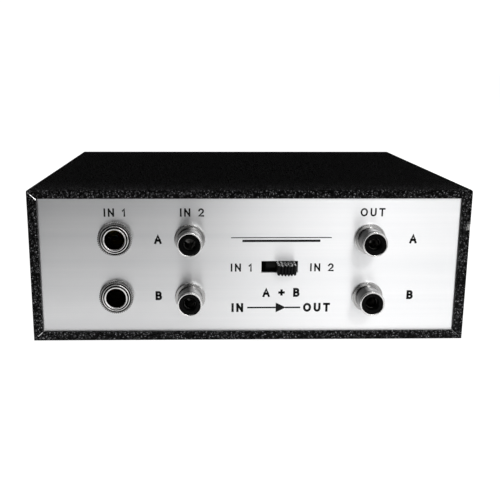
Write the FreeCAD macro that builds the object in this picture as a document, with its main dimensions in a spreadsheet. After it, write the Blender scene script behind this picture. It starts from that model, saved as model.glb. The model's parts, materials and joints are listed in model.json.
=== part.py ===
import FreeCAD, Part
import math
import os
import re
import Sketcher

# Two-channel phono and microphone preamplifier in a folded steel case.
# Millimetres. X runs to the right seen from the front, Y to the rear, Z up.
# The origin is the middle of the overall box, on the surface that the feet stand on.

os.makedirs("parts", exist_ok=True)
document = FreeCAD.newDocument("Preamp")
sheet = document.addObject("Spreadsheet::Sheet", "Sizes")

# Each size has a name of its own. Heights of front controls are from the case's underside.
SIZES = {
    # folded case
    "case_width": 146.0,
    "case_height": 51.5,
    "case_depth": 114.0,
    "case_sheet": 1.0,
    "flange_side": 3.2,
    "flange_top": 2.7,
    "flange_bottom": 3.0,
    "mitre_gap": 0.2,
    "mitre_overcut": 0.2,
    "mitre_end": 0.35,
    "seam_gap": 0.12,
    "lip_width": 18.0,
    "lip_end_gap": 8.0,
    "panel_sheet": 1.0,
    "chassis_sheet": 1.0,
    "edge_clearance": 0.1,
    "hole_clearance": 0.08,
    # rear wall
    "rear_inset": 1.0,
    "rear_lip": 9.0,
    "rear_lip_margin": 12.0,
    "rear_screw_spread": 40.0,
    "grommet_inset": 26.0,
    "grommet_height": 15.0,
    "grommet_hole": 5.5,
    "grommet_flange": 7.0,
    "grommet_bore": 3.2,
    "grommet_lip": 1.6,
    "grommet_bevel": 0.5,
    "ground_inset": 33.0,
    "ground_height": 15.0,
    "ground_washer_radius": 4.5,
    "ground_washer_sheet": 0.8,
    # screws
    "screw_radius": 1.45,
    "screw_head_radius": 2.75,
    "screw_head_height": 1.6,
    "screw_head_edge": 0.9,
    "screw_head_crown": 0.7,
    "screw_point": 0.5,
    "screw_slot_width": 0.8,
    "screw_slot_depth": 0.7,
    "screw_grip": 3.0,
    "screw_tip_gap": 0.1,
    # feet
    "foot_height": 2.5,
    "foot_radius": 5.5,
    "foot_taper": 0.6,
    "foot_recess_radius": 3.3,
    "foot_head_gap": 0.2,
    "foot_inset_side": 14.0,
    "foot_inset_front": 17.0,
    "foot_inset_rear": 16.0,
    # quarter inch microphone jacks
    "mic_across": -44.7,
    "mic_upper": 35.3,
    "mic_lower": 15.4,
    "mic_bore": 3.24,
    "mic_thread": 4.72,
    "mic_reach": 2.5,
    "mic_bevel": 0.8,
    "mic_shoulder_step": 1.7,
    "mic_shoulder_thick": 1.5,
    "mic_barrel_wall": 1.06,
    "mic_barrel_long": 1.8,
    "ring_nut_wall": 1.03,
    "ring_nut_thick": 1.9,
    "ring_nut_bevel": 0.45,
    "ring_nut_counterbore": 0.35,
    "ring_nut_dish": 0.5,
    "ring_nut_ridges": 44,
    "knurl_radius": 0.3,
    "jack_frame_sheet": 1.2,
    "jack_frame_tall": 12.0,
    "jack_frame_right": 6.4,
    "jack_frame_left": 9.2,
    "jack_frame_arm": 12.5,
    "stack_thick": 2.8,
    "stack_tall": 9.0,
    "stack_long": 9.0,
    "stack_start": 3.0,
    "leaf_sheet": 0.3,
    "leaf_tall": 5.0,
    "leaf_gap": 0.3,
    "leaf_run": 8.5,
    "leaf_dip": 4.4,
    "leaf_slope": 4.5,
    "leaf_tip_back": 2.0,
    "lug_tall": 4.5,
    "lug_long": 3.0,
    "lug_sheet": 0.5,
    "stack_rivet_radius": 0.9,
    "stack_rivet_head": 1.6,
    "stack_rivet_spread": 5.0,
    # pin jacks
    "phono_across": -20.0,
    "output_across": 39.8,
    "pin_upper": 35.1,
    "pin_lower": 15.1,
    "pin_reach": 8.7,
    "pin_barrel": 4.1,
    "pin_flange": 5.15,
    "pin_flange_thick": 1.2,
    "pin_edge": 0.25,
    "pin_thread": 4.0,
    "pin_thread_long": 5.2,
    "pin_wall": 0.62,
    "pin_insulator_recess": 0.9,
    "pin_insulator_tail": 1.2,
    "pin_contact_radius": 1.9,
    "pin_contact_bore": 1.62,
    "pin_contact_recess": 0.5,
    "pin_contact_deep": 9.5,
    "pin_contact_floor": 1.0,
    "pin_tail_radius": 0.8,
    "pin_tail_long": 3.5,
    "pin_fit": 0.05,
    "pin_nut_radius": 6.2,
    "pin_nut_thick": 2.0,
    "pin_lug_radius": 5.8,
    "pin_lug_sheet": 0.5,
    "pin_lug_width": 2.6,
    "pin_lug_tail": 5.0,
    # slide switch
    "switch_across": 9.97,
    "switch_height": 25.45,
    "slot_wide": 12.2,
    "slot_tall": 4.0,
    "knob_wide": 6.3,
    "knob_side_fit": 0.2,
    "knob_reach": 5.6,
    "knob_crown": 1.2,
    "knob_crown_middle": 0.86,
    "knob_crown_across": 0.55,
    "knob_ribs": 6,
    "knob_rib_deep": 0.35,
    "knob_rib_share": 0.45,
    "knob_travel": 4.0,
    "switch_wide": 23.0,
    "switch_tall": 11.6,
    "switch_deep": 7.0,
    "switch_sheet": 0.8,
    "switch_ear_spread": 28.6,
    "switch_ear_margin": 3.4,
    "switch_slot_margin": 0.5,
    "slider_wide": 13.0,
    "slider_tall": 7.6,
    "slider_thick": 2.4,
    "slider_fit": 0.1,
    "slider_contact_tall": 2.2,
    "slider_contact_wide": 9.1,
    "slider_contact_spread": 3.8,
    "switch_base_thick": 1.4,
    "terminal_pitch": 4.0,
    "terminal_wide": 1.6,
    "terminal_sheet": 0.5,
    "terminal_long": 4.0,
    "terminal_spread": 5.0,
    "switch_rivet_radius": 1.3,
    "switch_rivet_head": 2.4,
    "switch_rivet_tail": 0.8,
    "switch_rivet_bevel": 0.4,
    # circuit board
    "board_inset_left": 47.0,
    "board_inset_right": 15.0,
    "board_front": 36.0,
    "board_rear_gap": 14.0,
    "board_sheet": 1.6,
    "board_margin": 5.0,
    "standoff_tall": 6.0,
    "standoff_radius": 3.0,
    "transistor_radius": 2.4,
    "transistor_tall": 4.6,
    "transistor_flat": 1.4,
    "transistor_stand": 2.0,
    "transistor_leg_pitch": 1.27,
    "lead_wire": 0.5,
    "electrolytic_radius": 3.2,
    "electrolytic_tall": 11.0,
    "film_wide": 7.5,
    "film_deep": 4.0,
    "film_tall": 8.0,
    "resistor_radius": 1.15,
    "resistor_long": 5.4,
    "resistor_leg": 1.8,
    "diode_radius": 1.35,
    "diode_long": 5.2,
    "filter_radius": 8.0,
    "filter_tall": 24.0,
    "channel_start": 8.0,
    "channel_pitch": 11.0,
    "electrolytic_row": 13.0,
    "transistor_row": 20.5,
    "resistor_row": 26.5,
    "resistor_row_pitch": 4.5,
    "film_row": 33.5,
    "filter_row": 13.0,
    "diode_row": 6.0,
    "diode_row_pitch": 5.0,
    "diode_start": 22.0,
    # mains transformer
    "transformer_inset": 27.0,
    "transformer_back": 74.0,
    "core_wide": 34.0,
    "core_tall": 30.0,
    "core_deep": 18.0,
    "core_leg": 6.0,
    "core_centre_leg": 12.0,
    "winding_overhang": 6.0,
    "winding_fit": 0.1,
    "clamp_sheet": 1.0,
    "clamp_inset": 4.0,
    "clamp_foot": 5.6,
    # mains tag strip
    "tag_inset": 15.0,
    "tag_back": 46.0,
    "tag_strip_wide": 26.0,
    "tag_strip_tall": 9.0,
    "tag_strip_sheet": 1.6,
    "tag_foot": 7.0,
    "tag_count": 4,
    "tag_wide": 2.4,
    "tag_tall": 4.0,
    "tag_sheet": 0.5,
    # insulated leads inside
    "wire_radius": 0.6,
    "wire_near": 3.0,
    "wire_far": 7.0,
    "wire_near_aside": 12.0,
    "wire_far_aside": 10.0,
    "wire_rise": 11.0,
    "wire_lift": 2.2,
    "wire_mic_row": 16.0,
    "wire_mic_pitch": 6.0,
    "wire_mic_aside": 3.0,
    "wire_mic_run": 18.0,
    "wire_supply_aside": 10.5,
    "wire_supply_pitch": 5.0,
    "wire_supply_run": 8.0,
    "wire_supply_spread": 8.0,
    "wire_supply_drop": 3.0,
    "wire_tag_rise": 8.0,
}
for row, (alias, number) in enumerate(SIZES.items(), start=1):
    sheet.set(f"A{row}", alias)
    sheet.set(f"B{row}", str(number))
    sheet.setAlias(f"B{row}", alias)
document.recompute()

# Derived places, as expressions of the sizes above.
REAR_REACH = "(ground_washer_sheet + screw_head_height - rear_inset)"
FRONT = f"((pin_reach - case_sheet - case_depth - {REAR_REACH}) / 2)"
PANEL = f"({FRONT} + case_sheet)"
WALL_BACK = "(panel_sheet + chassis_sheet)"
FLOOR = "(foot_height + 2 * case_sheet + seam_gap)"
FLOOR_TOP = f"({FLOOR} + chassis_sheet)"
REAR_INNER = f"({FRONT} + case_depth - rear_inset - chassis_sheet)"
INNER_HALF = "(case_width / 2 - case_sheet - edge_clearance)"
INNER_TOP = "(foot_height + case_height - case_sheet - edge_clearance)"
FOOT_ACROSS = "(case_width / 2 - foot_inset_side)"
FOOT_PLACES = [
    (f"{sign} * {FOOT_ACROSS}", back)
    for back in (f"{FRONT} + foot_inset_front", f"{FRONT} + case_depth - foot_inset_rear")
    for sign in ("-1", "1")
]
SCREW_HOLE = "(screw_radius + hole_clearance)"
FOOT_SHELF = "(foot_height - screw_head_height - foot_head_gap)"
GROMMET_ACROSS = "(grommet_inset - case_width / 2)"
GROUND_ACROSS = "(case_width / 2 - ground_inset)"
TRANSFORMER_ACROSS = "(transformer_inset - case_width / 2)"
TAG_ACROSS = "(tag_inset - case_width / 2)"
BOARD_LEFT = "(board_inset_left - case_width / 2)"
BOARD_RIGHT = "(case_width / 2 - board_inset_right)"
BOARD_FRONT = f"({FRONT} + board_front)"
BOARD_REAR = f"({REAR_INNER} - board_rear_gap)"
BOARD_UNDER = f"({FLOOR_TOP} + standoff_tall)"
BOARD_TOP = f"({BOARD_UNDER} + board_sheet)"
BOARD_PLACES = [
    (across, back)
    for across in (f"{BOARD_LEFT} + board_margin", f"{BOARD_RIGHT} - board_margin")
    for back in (f"{BOARD_FRONT} + board_margin", f"{BOARD_REAR} - board_margin")
]
MIC_JACKS = {"l": "mic_upper", "r": "mic_lower"}
PIN_JACKS = {
    "phono_jack_l": ("phono_across", "pin_upper"),
    "phono_jack_r": ("phono_across", "pin_lower"),
    "output_jack_l": ("output_across", "pin_upper"),
    "output_jack_r": ("output_across", "pin_lower"),
}

nodes = []


def bound(expression):
    """Turns the size names in an expression into references to the sheet."""
    return re.sub(r"\b[a-z]+(?:_[a-z]+)+\b", r"Sizes.\g<0>", expression)


def value(expression):
    """Works out an expression of the sizes as a number."""
    return float(sheet.evalExpression(bound(f"{expression} + 0.0")))


def bind(item, name, expression):
    item.setExpression(name, bound(expression))


def place(item, at):
    """Binds the three coordinates of an object's placement."""
    for axis, expression in zip("xyz", at):
        bind(item, f"Placement.Base.{axis}", expression)


def node(item, label):
    """Registers a finished sub-part under the name that its file gets."""
    item.Label = label
    nodes.append(item)
    return item


def origin_plane(body, role):
    return next(item for item in body.Origin.OriginFeatures if item.Role == role)


def new_body(label, at):
    body = document.addObject("PartDesign::Body", label)
    body.Label = label
    place(body, at)
    return body


def new_sketch(body, plane):
    sketch = body.newObject("Sketcher::SketchObject", f"{body.Name}_{plane[:2]}")
    sketch.AttachmentSupport = [(origin_plane(body, f"{plane}_Plane"), "")]
    sketch.MapMode = "FlatFace"
    return sketch


def fix_point(sketch, edge, end, across, along):
    """Holds one end of a sketch edge at a place given by two expressions."""
    for kind, expression in (("DistanceX", across), ("DistanceY", along)):
        rule = Sketcher.Constraint(kind, -1, 1, edge, end, value(expression))
        index = sketch.addConstraint(rule)
        sketch.setExpression(f"Constraints[{index}]", bound(expression))


def outline(sketch, points):
    """Draws a closed outline through points given as pairs of expressions."""
    places = [FreeCAD.Vector(value(across), value(along), 0) for across, along in points]
    first = sketch.GeometryCount
    count = len(points)
    for index in range(count):
        line = Part.LineSegment(places[index], places[(index + 1) % count])
        sketch.addGeometry(line, False)
    for index in range(count):
        after = first + (index + 1) % count
        sketch.addConstraint(Sketcher.Constraint("Coincident", first + index, 2, after, 1))
    for index, (across, along) in enumerate(points):
        fix_point(sketch, first + index, 1, across, along)


def rectangle(sketch, left, bottom, right, top):
    outline(sketch, [(left, bottom), (right, bottom), (right, top), (left, top)])


def circle(sketch, across, along, radius):
    centre = FreeCAD.Vector(value(across), value(along), 0)
    round_edge = Part.Circle(centre, FreeCAD.Vector(0, 0, 1), value(radius))
    edge = sketch.addGeometry(round_edge, False)
    fix_point(sketch, edge, 3, across, along)
    index = sketch.addConstraint(Sketcher.Constraint("Radius", edge, value(radius)))
    sketch.setExpression(f"Constraints[{index}]", bound(radius))


def pad(body, sketch, length, backwards=False, both_ways=False):
    """Thickens a sketch: towards -Y from an XZ sketch, or towards +Y when backwards."""
    feature = body.newObject("PartDesign::Pad", "Pad")
    feature.Profile = sketch
    feature.Reversed = backwards
    feature.Midplane = both_ways
    bind(feature, "Length", length)
    document.recompute()
    return feature


def pocket(body, sketch, length, both_ways=False):
    """Cuts a sketch out of the body, on whichever side of it the material lies."""
    before = body.Shape.Volume
    feature = body.newObject("PartDesign::Pocket", "Pocket")
    feature.Profile = sketch
    feature.Midplane = both_ways
    bind(feature, "Length", length)
    document.recompute()
    if abs(body.Shape.Volume - before) < 1e-6:
        feature.Reversed = True
        document.recompute()
    if abs(body.Shape.Volume - before) < 1e-6:
        raise ValueError(f"{body.Label}: a pocket cuts nothing")
    return feature


def turned(label, profile, at, axis="Y"):
    """Makes a turned piece from pairs of radius and distance along its Y or Z axis."""
    body = new_body(label, at)
    sketch = new_sketch(body, "XY" if axis == "Y" else "XZ")
    outline(sketch, profile)
    feature = body.newObject("PartDesign::Revolution", "Turned")
    feature.Profile = sketch
    feature.ReferenceAxis = (sketch, ["V_Axis"])
    feature.Angle = 360
    document.recompute()
    return body


def block(label, extent, at):
    """Makes a box from its three lengths, with its lowest corner at a place."""
    item = document.addObject("Part::Box", label)
    for name, expression in zip(("Length", "Width", "Height"), extent):
        bind(item, name, expression)
    place(item, at)
    return item


def rod(label, radius, length, at, axis="Z"):
    """Makes a cylinder that starts at a place and runs along one axis."""
    item = document.addObject("Part::Cylinder", label)
    bind(item, "Radius", radius)
    bind(item, "Height", length)
    turn = {
        "X": FreeCAD.Rotation(FreeCAD.Vector(0, 1, 0), 90),
        "Y": FreeCAD.Rotation(FreeCAD.Vector(1, 0, 0), -90),
        "Z": FreeCAD.Rotation(),
    }
    item.Placement = FreeCAD.Placement(FreeCAD.Vector(), turn[axis])
    place(item, at)
    return item


def cut(label, base, tool):
    item = document.addObject("Part::Cut", label)
    item.Base = base
    item.Tool = tool
    return item


def fused(label, members):
    item = document.addObject("Part::MultiFuse", label)
    item.Shapes = members
    return item


def group(label, members):
    """Collects separate solids of one kind in one sub-part."""
    item = document.addObject("Part::Compound", label)
    item.Links = members
    return node(item, label)


def screw(label, at, length, axis="Z", towards=1):
    """Makes a slotted pan head screw: the head's seat is at its place, the shank runs on."""
    head = f"{-towards} * screw_head_height"
    tip = f"{towards} * ({length})"
    crown = f"{-towards} * screw_head_edge"
    body = turned(
        label,
        [
            ("0", head),
            ("screw_head_radius - screw_head_crown", head),
            ("screw_head_radius", crown),
            ("screw_head_radius", "0"),
            ("screw_radius", "0"),
            ("screw_radius", f"{tip} - {towards} * screw_point"),
            ("screw_radius - screw_point", tip),
            ("0", tip),
        ],
        at,
        axis,
    )
    slot = new_sketch(body, "YZ")
    low = f"{-towards} * (screw_head_height - screw_slot_depth)"
    high = f"{-towards} * (screw_head_height + screw_slot_depth)"
    half = "screw_slot_width / 2"
    if axis == "Z":
        rectangle(slot, f"-{half}", low, half, high)
    else:
        rectangle(slot, low, f"-{half}", high, half)
    pocket(body, slot, "4 * screw_head_radius", both_ways=True)
    return body


def top_cover():
    """Top and sides in one folded sheet, mitred front flanges, lips under the chassis."""
    body = new_body("top_cover", ("0", FRONT, "foot_height"))
    half = "case_width / 2"
    foot = "(case_sheet + seam_gap)"
    shell = new_sketch(body, "XZ")
    inner = f"{half} - case_sheet"
    outline(
        shell,
        [
            (f"-{half}", foot),
            (f"-({inner})", foot),
            (f"-({inner})", "case_height - case_sheet"),
            (inner, "case_height - case_sheet"),
            (inner, foot),
            (half, foot),
            (half, "case_height"),
            (f"-{half}", "case_height"),
        ],
    )
    pad(body, shell, "case_depth", backwards=True)
    mitre = f"({foot} * flange_side / flange_bottom)"
    flange = new_sketch(body, "XZ")
    outline(
        flange,
        [
            (f"-{half}", foot),
            (f"-{half} + {mitre}", foot),
            (f"-{half} + flange_side", "flange_bottom"),
            (f"-{half} + flange_side", "case_height - flange_top"),
            (f"{half} - flange_side", "case_height - flange_top"),
            (f"{half} - flange_side", "flange_bottom"),
            (f"{half} - {mitre}", foot),
            (half, foot),
            (half, "case_height"),
            (f"-{half}", "case_height"),
        ],
    )
    pad(body, flange, "case_sheet", backwards=True)
    slit = new_sketch(body, "XZ")
    for sign in ("-1", "1"):
        start = f"{sign} * ({half} - flange_side - mitre_overcut)"
        corner = f"{sign} * ({half} - mitre_end)"
        low = "case_height - flange_top - mitre_overcut"
        high = "case_height - mitre_end"
        outline(
            slit,
            [
                (f"{start} - mitre_gap / 2", low),
                (f"{start} + mitre_gap / 2", low),
                (f"{corner} + mitre_gap / 2", high),
                (f"{corner} - mitre_gap / 2", high),
            ],
        )
    pocket(body, slit, "case_sheet")
    lips = new_sketch(body, "XZ")
    for sign in ("-1", "1"):
        edge = f"{sign} * ({half} - case_sheet / 2)"
        inside = f"{sign} * ({half} - lip_width)"
        rectangle(lips, edge, foot, inside, f"{foot} + case_sheet")
    lip_pad = pad(body, lips, "case_depth - 2 * lip_end_gap", backwards=True)
    bind(lips, "AttachmentOffset.Base.z", "-lip_end_gap")
    document.recompute()
    if not lip_pad.isValid():
        raise ValueError("top_cover: lips failed")
    holes = new_sketch(body, "XY")
    for across, back in FOOT_PLACES:
        circle(holes, across, f"{back} - {FRONT}", SCREW_HOLE)
    pocket(body, holes, "4 * case_sheet + 2 * seam_gap", both_ways=True)
    return node(body, "top_cover")


def bottom_cover():
    """Bottom plate with its own mitred front flange."""
    body = new_body("bottom_cover", ("0", FRONT, "foot_height"))
    half = "case_width / 2"
    plate = new_sketch(body, "XY")
    rectangle(plate, f"-{half}", "0", half, "case_depth")
    for across, back in FOOT_PLACES:
        circle(plate, across, f"{back} - {FRONT}", SCREW_HOLE)
    pad(body, plate, "case_sheet")
    flange = new_sketch(body, "XZ")
    mitre = "(case_sheet * flange_side / flange_bottom + mitre_gap)"
    outline(
        flange,
        [
            (f"-{half}", "0"),
            (half, "0"),
            (half, "case_sheet"),
            (f"{half} - {mitre}", "case_sheet"),
            (f"{half} - flange_side - mitre_gap", "flange_bottom"),
            (f"-{half} + flange_side + mitre_gap", "flange_bottom"),
            (f"-{half} + {mitre}", "case_sheet"),
            (f"-{half}", "case_sheet"),
        ],
    )
    pad(body, flange, "case_sheet", backwards=True)
    return node(body, "bottom_cover")


def front_panel():
    """Aluminium front sheet, seated against the back of the front flanges."""
    body = new_body("front_panel", ("0", PANEL, "foot_height"))
    face = new_sketch(body, "XZ")
    rectangle(
        face,
        f"-{INNER_HALF}",
        "case_sheet + edge_clearance",
        INNER_HALF,
        f"{INNER_TOP} - foot_height",
    )
    for height in MIC_JACKS.values():
        circle(face, "mic_across", height, "mic_thread + hole_clearance")
    for across, height in PIN_JACKS.values():
        circle(face, across, height, "pin_thread + hole_clearance")
    rectangle(
        face,
        "switch_across - slot_wide / 2",
        "switch_height - slot_tall / 2",
        "switch_across + slot_wide / 2",
        "switch_height + slot_tall / 2",
    )
    pad(body, face, "panel_sheet", backwards=True)
    return node(body, "front_panel")


def chassis():
    """Steel front wall and floor in one folded sheet, which carry everything inside."""
    body = new_body("chassis", ("0", f"{PANEL} + panel_sheet", "0"))
    wall = new_sketch(body, "XZ")
    rectangle(wall, f"-{INNER_HALF}", FLOOR, INNER_HALF, INNER_TOP)
    for height in MIC_JACKS.values():
        circle(wall, "mic_across", f"foot_height + {height}", "mic_thread + hole_clearance")
    for across, height in PIN_JACKS.values():
        circle(wall, across, f"foot_height + {height}", "pin_thread + hole_clearance")
    middle = "(foot_height + switch_height)"
    rectangle(
        wall,
        "switch_across - slot_wide / 2 - switch_slot_margin",
        f"{middle} - slot_tall / 2 - switch_slot_margin",
        "switch_across + slot_wide / 2 + switch_slot_margin",
        f"{middle} + slot_tall / 2 + switch_slot_margin",
    )
    for sign in ("-", "+"):
        ear = f"switch_across {sign} switch_ear_spread / 2"
        circle(wall, ear, middle, "switch_rivet_head + hole_clearance")
    pad(body, wall, "chassis_sheet", backwards=True)
    floor = new_sketch(body, "XY")
    start = f"({PANEL} + panel_sheet)"
    rectangle(floor, f"-{INNER_HALF}", "0", INNER_HALF, f"{REAR_INNER} - {start}")
    for across, back in FOOT_PLACES + TRANSFORMER_PLACES + REAR_PLACES:
        circle(floor, across, f"{back} - {start}", SCREW_HOLE)
    bind(floor, "AttachmentOffset.Base.z", FLOOR)
    pad(body, floor, "chassis_sheet")
    return node(body, "chassis")


TRANSFORMER_PLACES = [
    (
        f"{TRANSFORMER_ACROSS} {sign} (core_wide / 2 + clamp_sheet + clamp_foot / 2)",
        f"{FRONT} + transformer_back",
    )
    for sign in ("-", "+")
]
REAR_PLACES = [
    (f"{sign} * rear_screw_spread", f"{REAR_INNER} - rear_lip / 2") for sign in ("-1", "1")
]


def rear_panel():
    """Rear wall, folded forward at the bottom into a lip that lies on the chassis floor."""
    body = new_body("rear_panel", ("0", REAR_INNER, "0"))
    wall = new_sketch(body, "XZ")
    rectangle(wall, f"-{INNER_HALF}", FLOOR, INNER_HALF, INNER_TOP)
    circle(
        wall, GROMMET_ACROSS, "foot_height + grommet_height", "grommet_hole + hole_clearance"
    )
    circle(wall, GROUND_ACROSS, "foot_height + ground_height", SCREW_HOLE)
    pad(body, wall, "chassis_sheet", backwards=True)
    lip = new_sketch(body, "XY")
    reach = f"({INNER_HALF} - rear_lip_margin)"
    rectangle(lip, f"-{reach}", "-rear_lip", reach, "chassis_sheet / 2")
    for across, back in REAR_PLACES:
        circle(lip, across, f"{back} - {REAR_INNER}", SCREW_HOLE)
    bind(lip, "AttachmentOffset.Base.z", FLOOR_TOP)
    pad(body, lip, "chassis_sheet")
    node(body, "rear_panel")
    grip = "2 * chassis_sheet - screw_tip_gap"
    seat = f"{FLOOR_TOP} + chassis_sheet"
    fixings = [
        screw(f"rear_panel_screw_{index}", (across, back, seat), grip, towards=-1)
        for index, (across, back) in enumerate(REAR_PLACES, start=1)
    ]
    group("rear_panel_screws", fixings)


def rear_fittings():
    """The open cord grommet, and the ground screw with its washer."""
    outer = f"{REAR_INNER} + chassis_sheet"
    node(
        turned(
            "cord_grommet",
            [
                ("grommet_bore", "-chassis_sheet - grommet_lip"),
                ("grommet_flange - grommet_bevel", "-chassis_sheet - grommet_lip"),
                ("grommet_flange", "-chassis_sheet - grommet_lip / 2"),
                ("grommet_flange", "-chassis_sheet"),
                ("grommet_hole", "-chassis_sheet"),
                ("grommet_hole", "0"),
                ("grommet_flange", "0"),
                ("grommet_flange", "grommet_lip / 2"),
                ("grommet_flange - grommet_bevel", "grommet_lip"),
                ("grommet_bore", "grommet_lip"),
            ],
            (GROMMET_ACROSS, outer, "foot_height + grommet_height"),
        ),
        "cord_grommet",
    )
    height = "foot_height + ground_height"
    washer = turned(
        "ground_washer",
        [
            (SCREW_HOLE, "0"),
            ("ground_washer_radius", "0"),
            ("ground_washer_radius", "ground_washer_sheet"),
            (SCREW_HOLE, "ground_washer_sheet"),
        ],
        (GROUND_ACROSS, outer, height),
    )
    node(washer, "ground_washer")
    seat = f"{outer} + ground_washer_sheet"
    length = "ground_washer_sheet + chassis_sheet + screw_grip"
    fixing = screw("ground_screw", (GROUND_ACROSS, seat, height), length, "Y", towards=-1)
    node(fixing, "ground_screw")


def feet():
    """Four rubber feet and the screws that hold the case together through them."""
    rubber = []
    fixings = []
    length = f"{FOOT_SHELF} + 2 * case_sheet + seam_gap + chassis_sheet + screw_grip"
    for index, (across, back) in enumerate(FOOT_PLACES, start=1):
        rubber.append(
            turned(
                f"rubber_foot_{index}",
                [
                    ("foot_recess_radius", "0"),
                    ("foot_radius - foot_taper", "0"),
                    ("foot_radius", "foot_height"),
                    (SCREW_HOLE, "foot_height"),
                    (SCREW_HOLE, f"foot_height - {FOOT_SHELF}"),
                    ("foot_recess_radius", f"foot_height - {FOOT_SHELF}"),
                ],
                (across, back, "0"),
                axis="Z",
            )
        )
        seat = f"foot_height - {FOOT_SHELF}"
        fixings.append(screw(f"foot_screw_{index}", (across, back, seat), length))
    group("rubber_feet", rubber)
    group("foot_screws", fixings)


def mic_jack(side, height):
    """A quarter inch jack: bushing, ring nut, frame, contact stack and sprung leaf."""
    name = f"mic_jack_{side}"
    centre = f"(foot_height + {height})"
    back = f"({WALL_BACK} + mic_shoulder_thick)"
    bushing = turned(
        f"{name}_bushing",
        [
            ("mic_bore", "-mic_reach"),
            ("mic_thread - mic_bevel", "-mic_reach"),
            ("mic_thread", "-mic_reach + mic_bevel"),
            ("mic_thread", WALL_BACK),
            ("mic_thread + mic_shoulder_step", WALL_BACK),
            ("mic_thread + mic_shoulder_step", back),
            ("mic_bore + mic_barrel_wall", back),
            ("mic_bore + mic_barrel_wall", f"{back} + mic_barrel_long"),
            ("mic_bore", f"{back} + mic_barrel_long"),
        ],
        ("mic_across", PANEL, centre),
    )
    node(bushing, f"{name}_bushing")
    outer = "(mic_thread + ring_nut_wall)"
    nut = turned(
        f"{name}_nut",
        [
            ("mic_thread + hole_clearance", "-ring_nut_thick + ring_nut_dish"),
            ("mic_thread + ring_nut_counterbore", "-ring_nut_thick"),
            (f"{outer} - ring_nut_bevel", "-ring_nut_thick"),
            (outer, "-ring_nut_thick + ring_nut_bevel"),
            (outer, "0"),
            ("mic_thread + hole_clearance", "0"),
        ],
        ("mic_across", PANEL, centre),
    )
    notch = new_sketch(nut, "XZ")
    circle(notch, f"{outer} + knurl_radius / 2", "0", "knurl_radius")
    first = pocket(nut, notch, "ring_nut_thick")
    ridges = nut.newObject("PartDesign::PolarPattern", "Ridges")
    ridges.Originals = [first]
    ridges.Axis = (notch, ["N_Axis"])
    ridges.Angle = 360
    bind(ridges, "Occurrences", "ring_nut_ridges")
    nut.Tip = ridges
    node(nut, f"{name}_nut")

    frame = new_body(f"{name}_frame", ("mic_across", f"{PANEL} + {back}", centre))
    bend = new_sketch(frame, "XY")
    outline(
        bend,
        [
            ("-jack_frame_left", "0"),
            ("jack_frame_right", "0"),
            ("jack_frame_right", "jack_frame_sheet"),
            ("-jack_frame_left + jack_frame_sheet", "jack_frame_sheet"),
            ("-jack_frame_left + jack_frame_sheet", "jack_frame_arm"),
            ("-jack_frame_left", "jack_frame_arm"),
        ],
    )
    pad(frame, bend, "jack_frame_tall", both_ways=True)
    eye = new_sketch(frame, "XZ")
    circle(eye, "0", "0", "mic_bore + mic_barrel_wall + hole_clearance")
    pocket(frame, eye, "jack_frame_sheet")
    rivets_at = stack_rivet_places()
    drilled = new_sketch(frame, "YZ")
    for along, up in rivets_at:
        circle(drilled, along, up, "stack_rivet_radius + hole_clearance")
    pocket(frame, drilled, "2 * jack_frame_left", both_ways=True)
    node(frame, f"{name}_frame")

    face = "(-jack_frame_left + jack_frame_sheet)"
    stack = new_body(f"{name}_stack", (f"mic_across + {face}", f"{PANEL} + {back}", centre))
    wafer = new_sketch(stack, "YZ")
    half = "stack_tall / 2"
    rectangle(wafer, "stack_start", f"-{half}", "stack_start + stack_long", half)
    for along, up in rivets_at:
        circle(wafer, along, up, "stack_rivet_radius + hole_clearance")
    pad(stack, wafer, "stack_thick")

    middle = f"(mic_across + {face} + stack_thick / 2)"
    lug = block(
        f"{name}_lug",
        ("lug_sheet", "lug_long", "lug_tall"),
        (
            f"{middle} - lug_sheet / 2",
            f"{PANEL} + {back} + stack_start + stack_long / 2 - lug_long / 2",
            f"{centre} + {half}",
        ),
    )

    root = f"({back} + stack_start + stack_long + leaf_gap)"
    leaf = new_body(f"{name}_tip_spring", (middle, f"{PANEL} + {root}", centre))
    bent = new_sketch(leaf, "XY")
    thick = "leaf_sheet"
    outline(
        bent,
        [
            (f"-{thick} / 2", "0"),
            (f"{thick} / 2", "0"),
            (f"{thick} / 2", "leaf_run"),
            ("leaf_dip", "leaf_run + leaf_slope"),
            ("leaf_dip - leaf_tip_back", "leaf_run + leaf_slope + leaf_tip_back"),
            (
                f"leaf_dip - leaf_tip_back - {thick}",
                "leaf_run + leaf_slope + leaf_tip_back",
            ),
            (f"leaf_dip - 1.5 * {thick}", "leaf_run + leaf_slope"),
            (f"-{thick} / 2", f"leaf_run + {thick} / 2"),
        ],
    )
    pad(leaf, bent, "leaf_tall", both_ways=True)
    node(leaf, f"{name}_tip_spring")
    return stack, lug


def mic_jacks():
    """Both microphone jacks, their insulating stacks and lugs collected by kind."""
    pairs = [mic_jack(side, height) for side, height in MIC_JACKS.items()]
    group("mic_jack_stacks", [stack for stack, _ in pairs])
    group("mic_jack_lugs", [lug for _, lug in pairs])


def stack_rivet_places():
    middle = "(stack_start + stack_long / 2)"
    return [(f"{middle} {sign} stack_rivet_spread / 2", "0") for sign in ("-", "+")]


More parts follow.
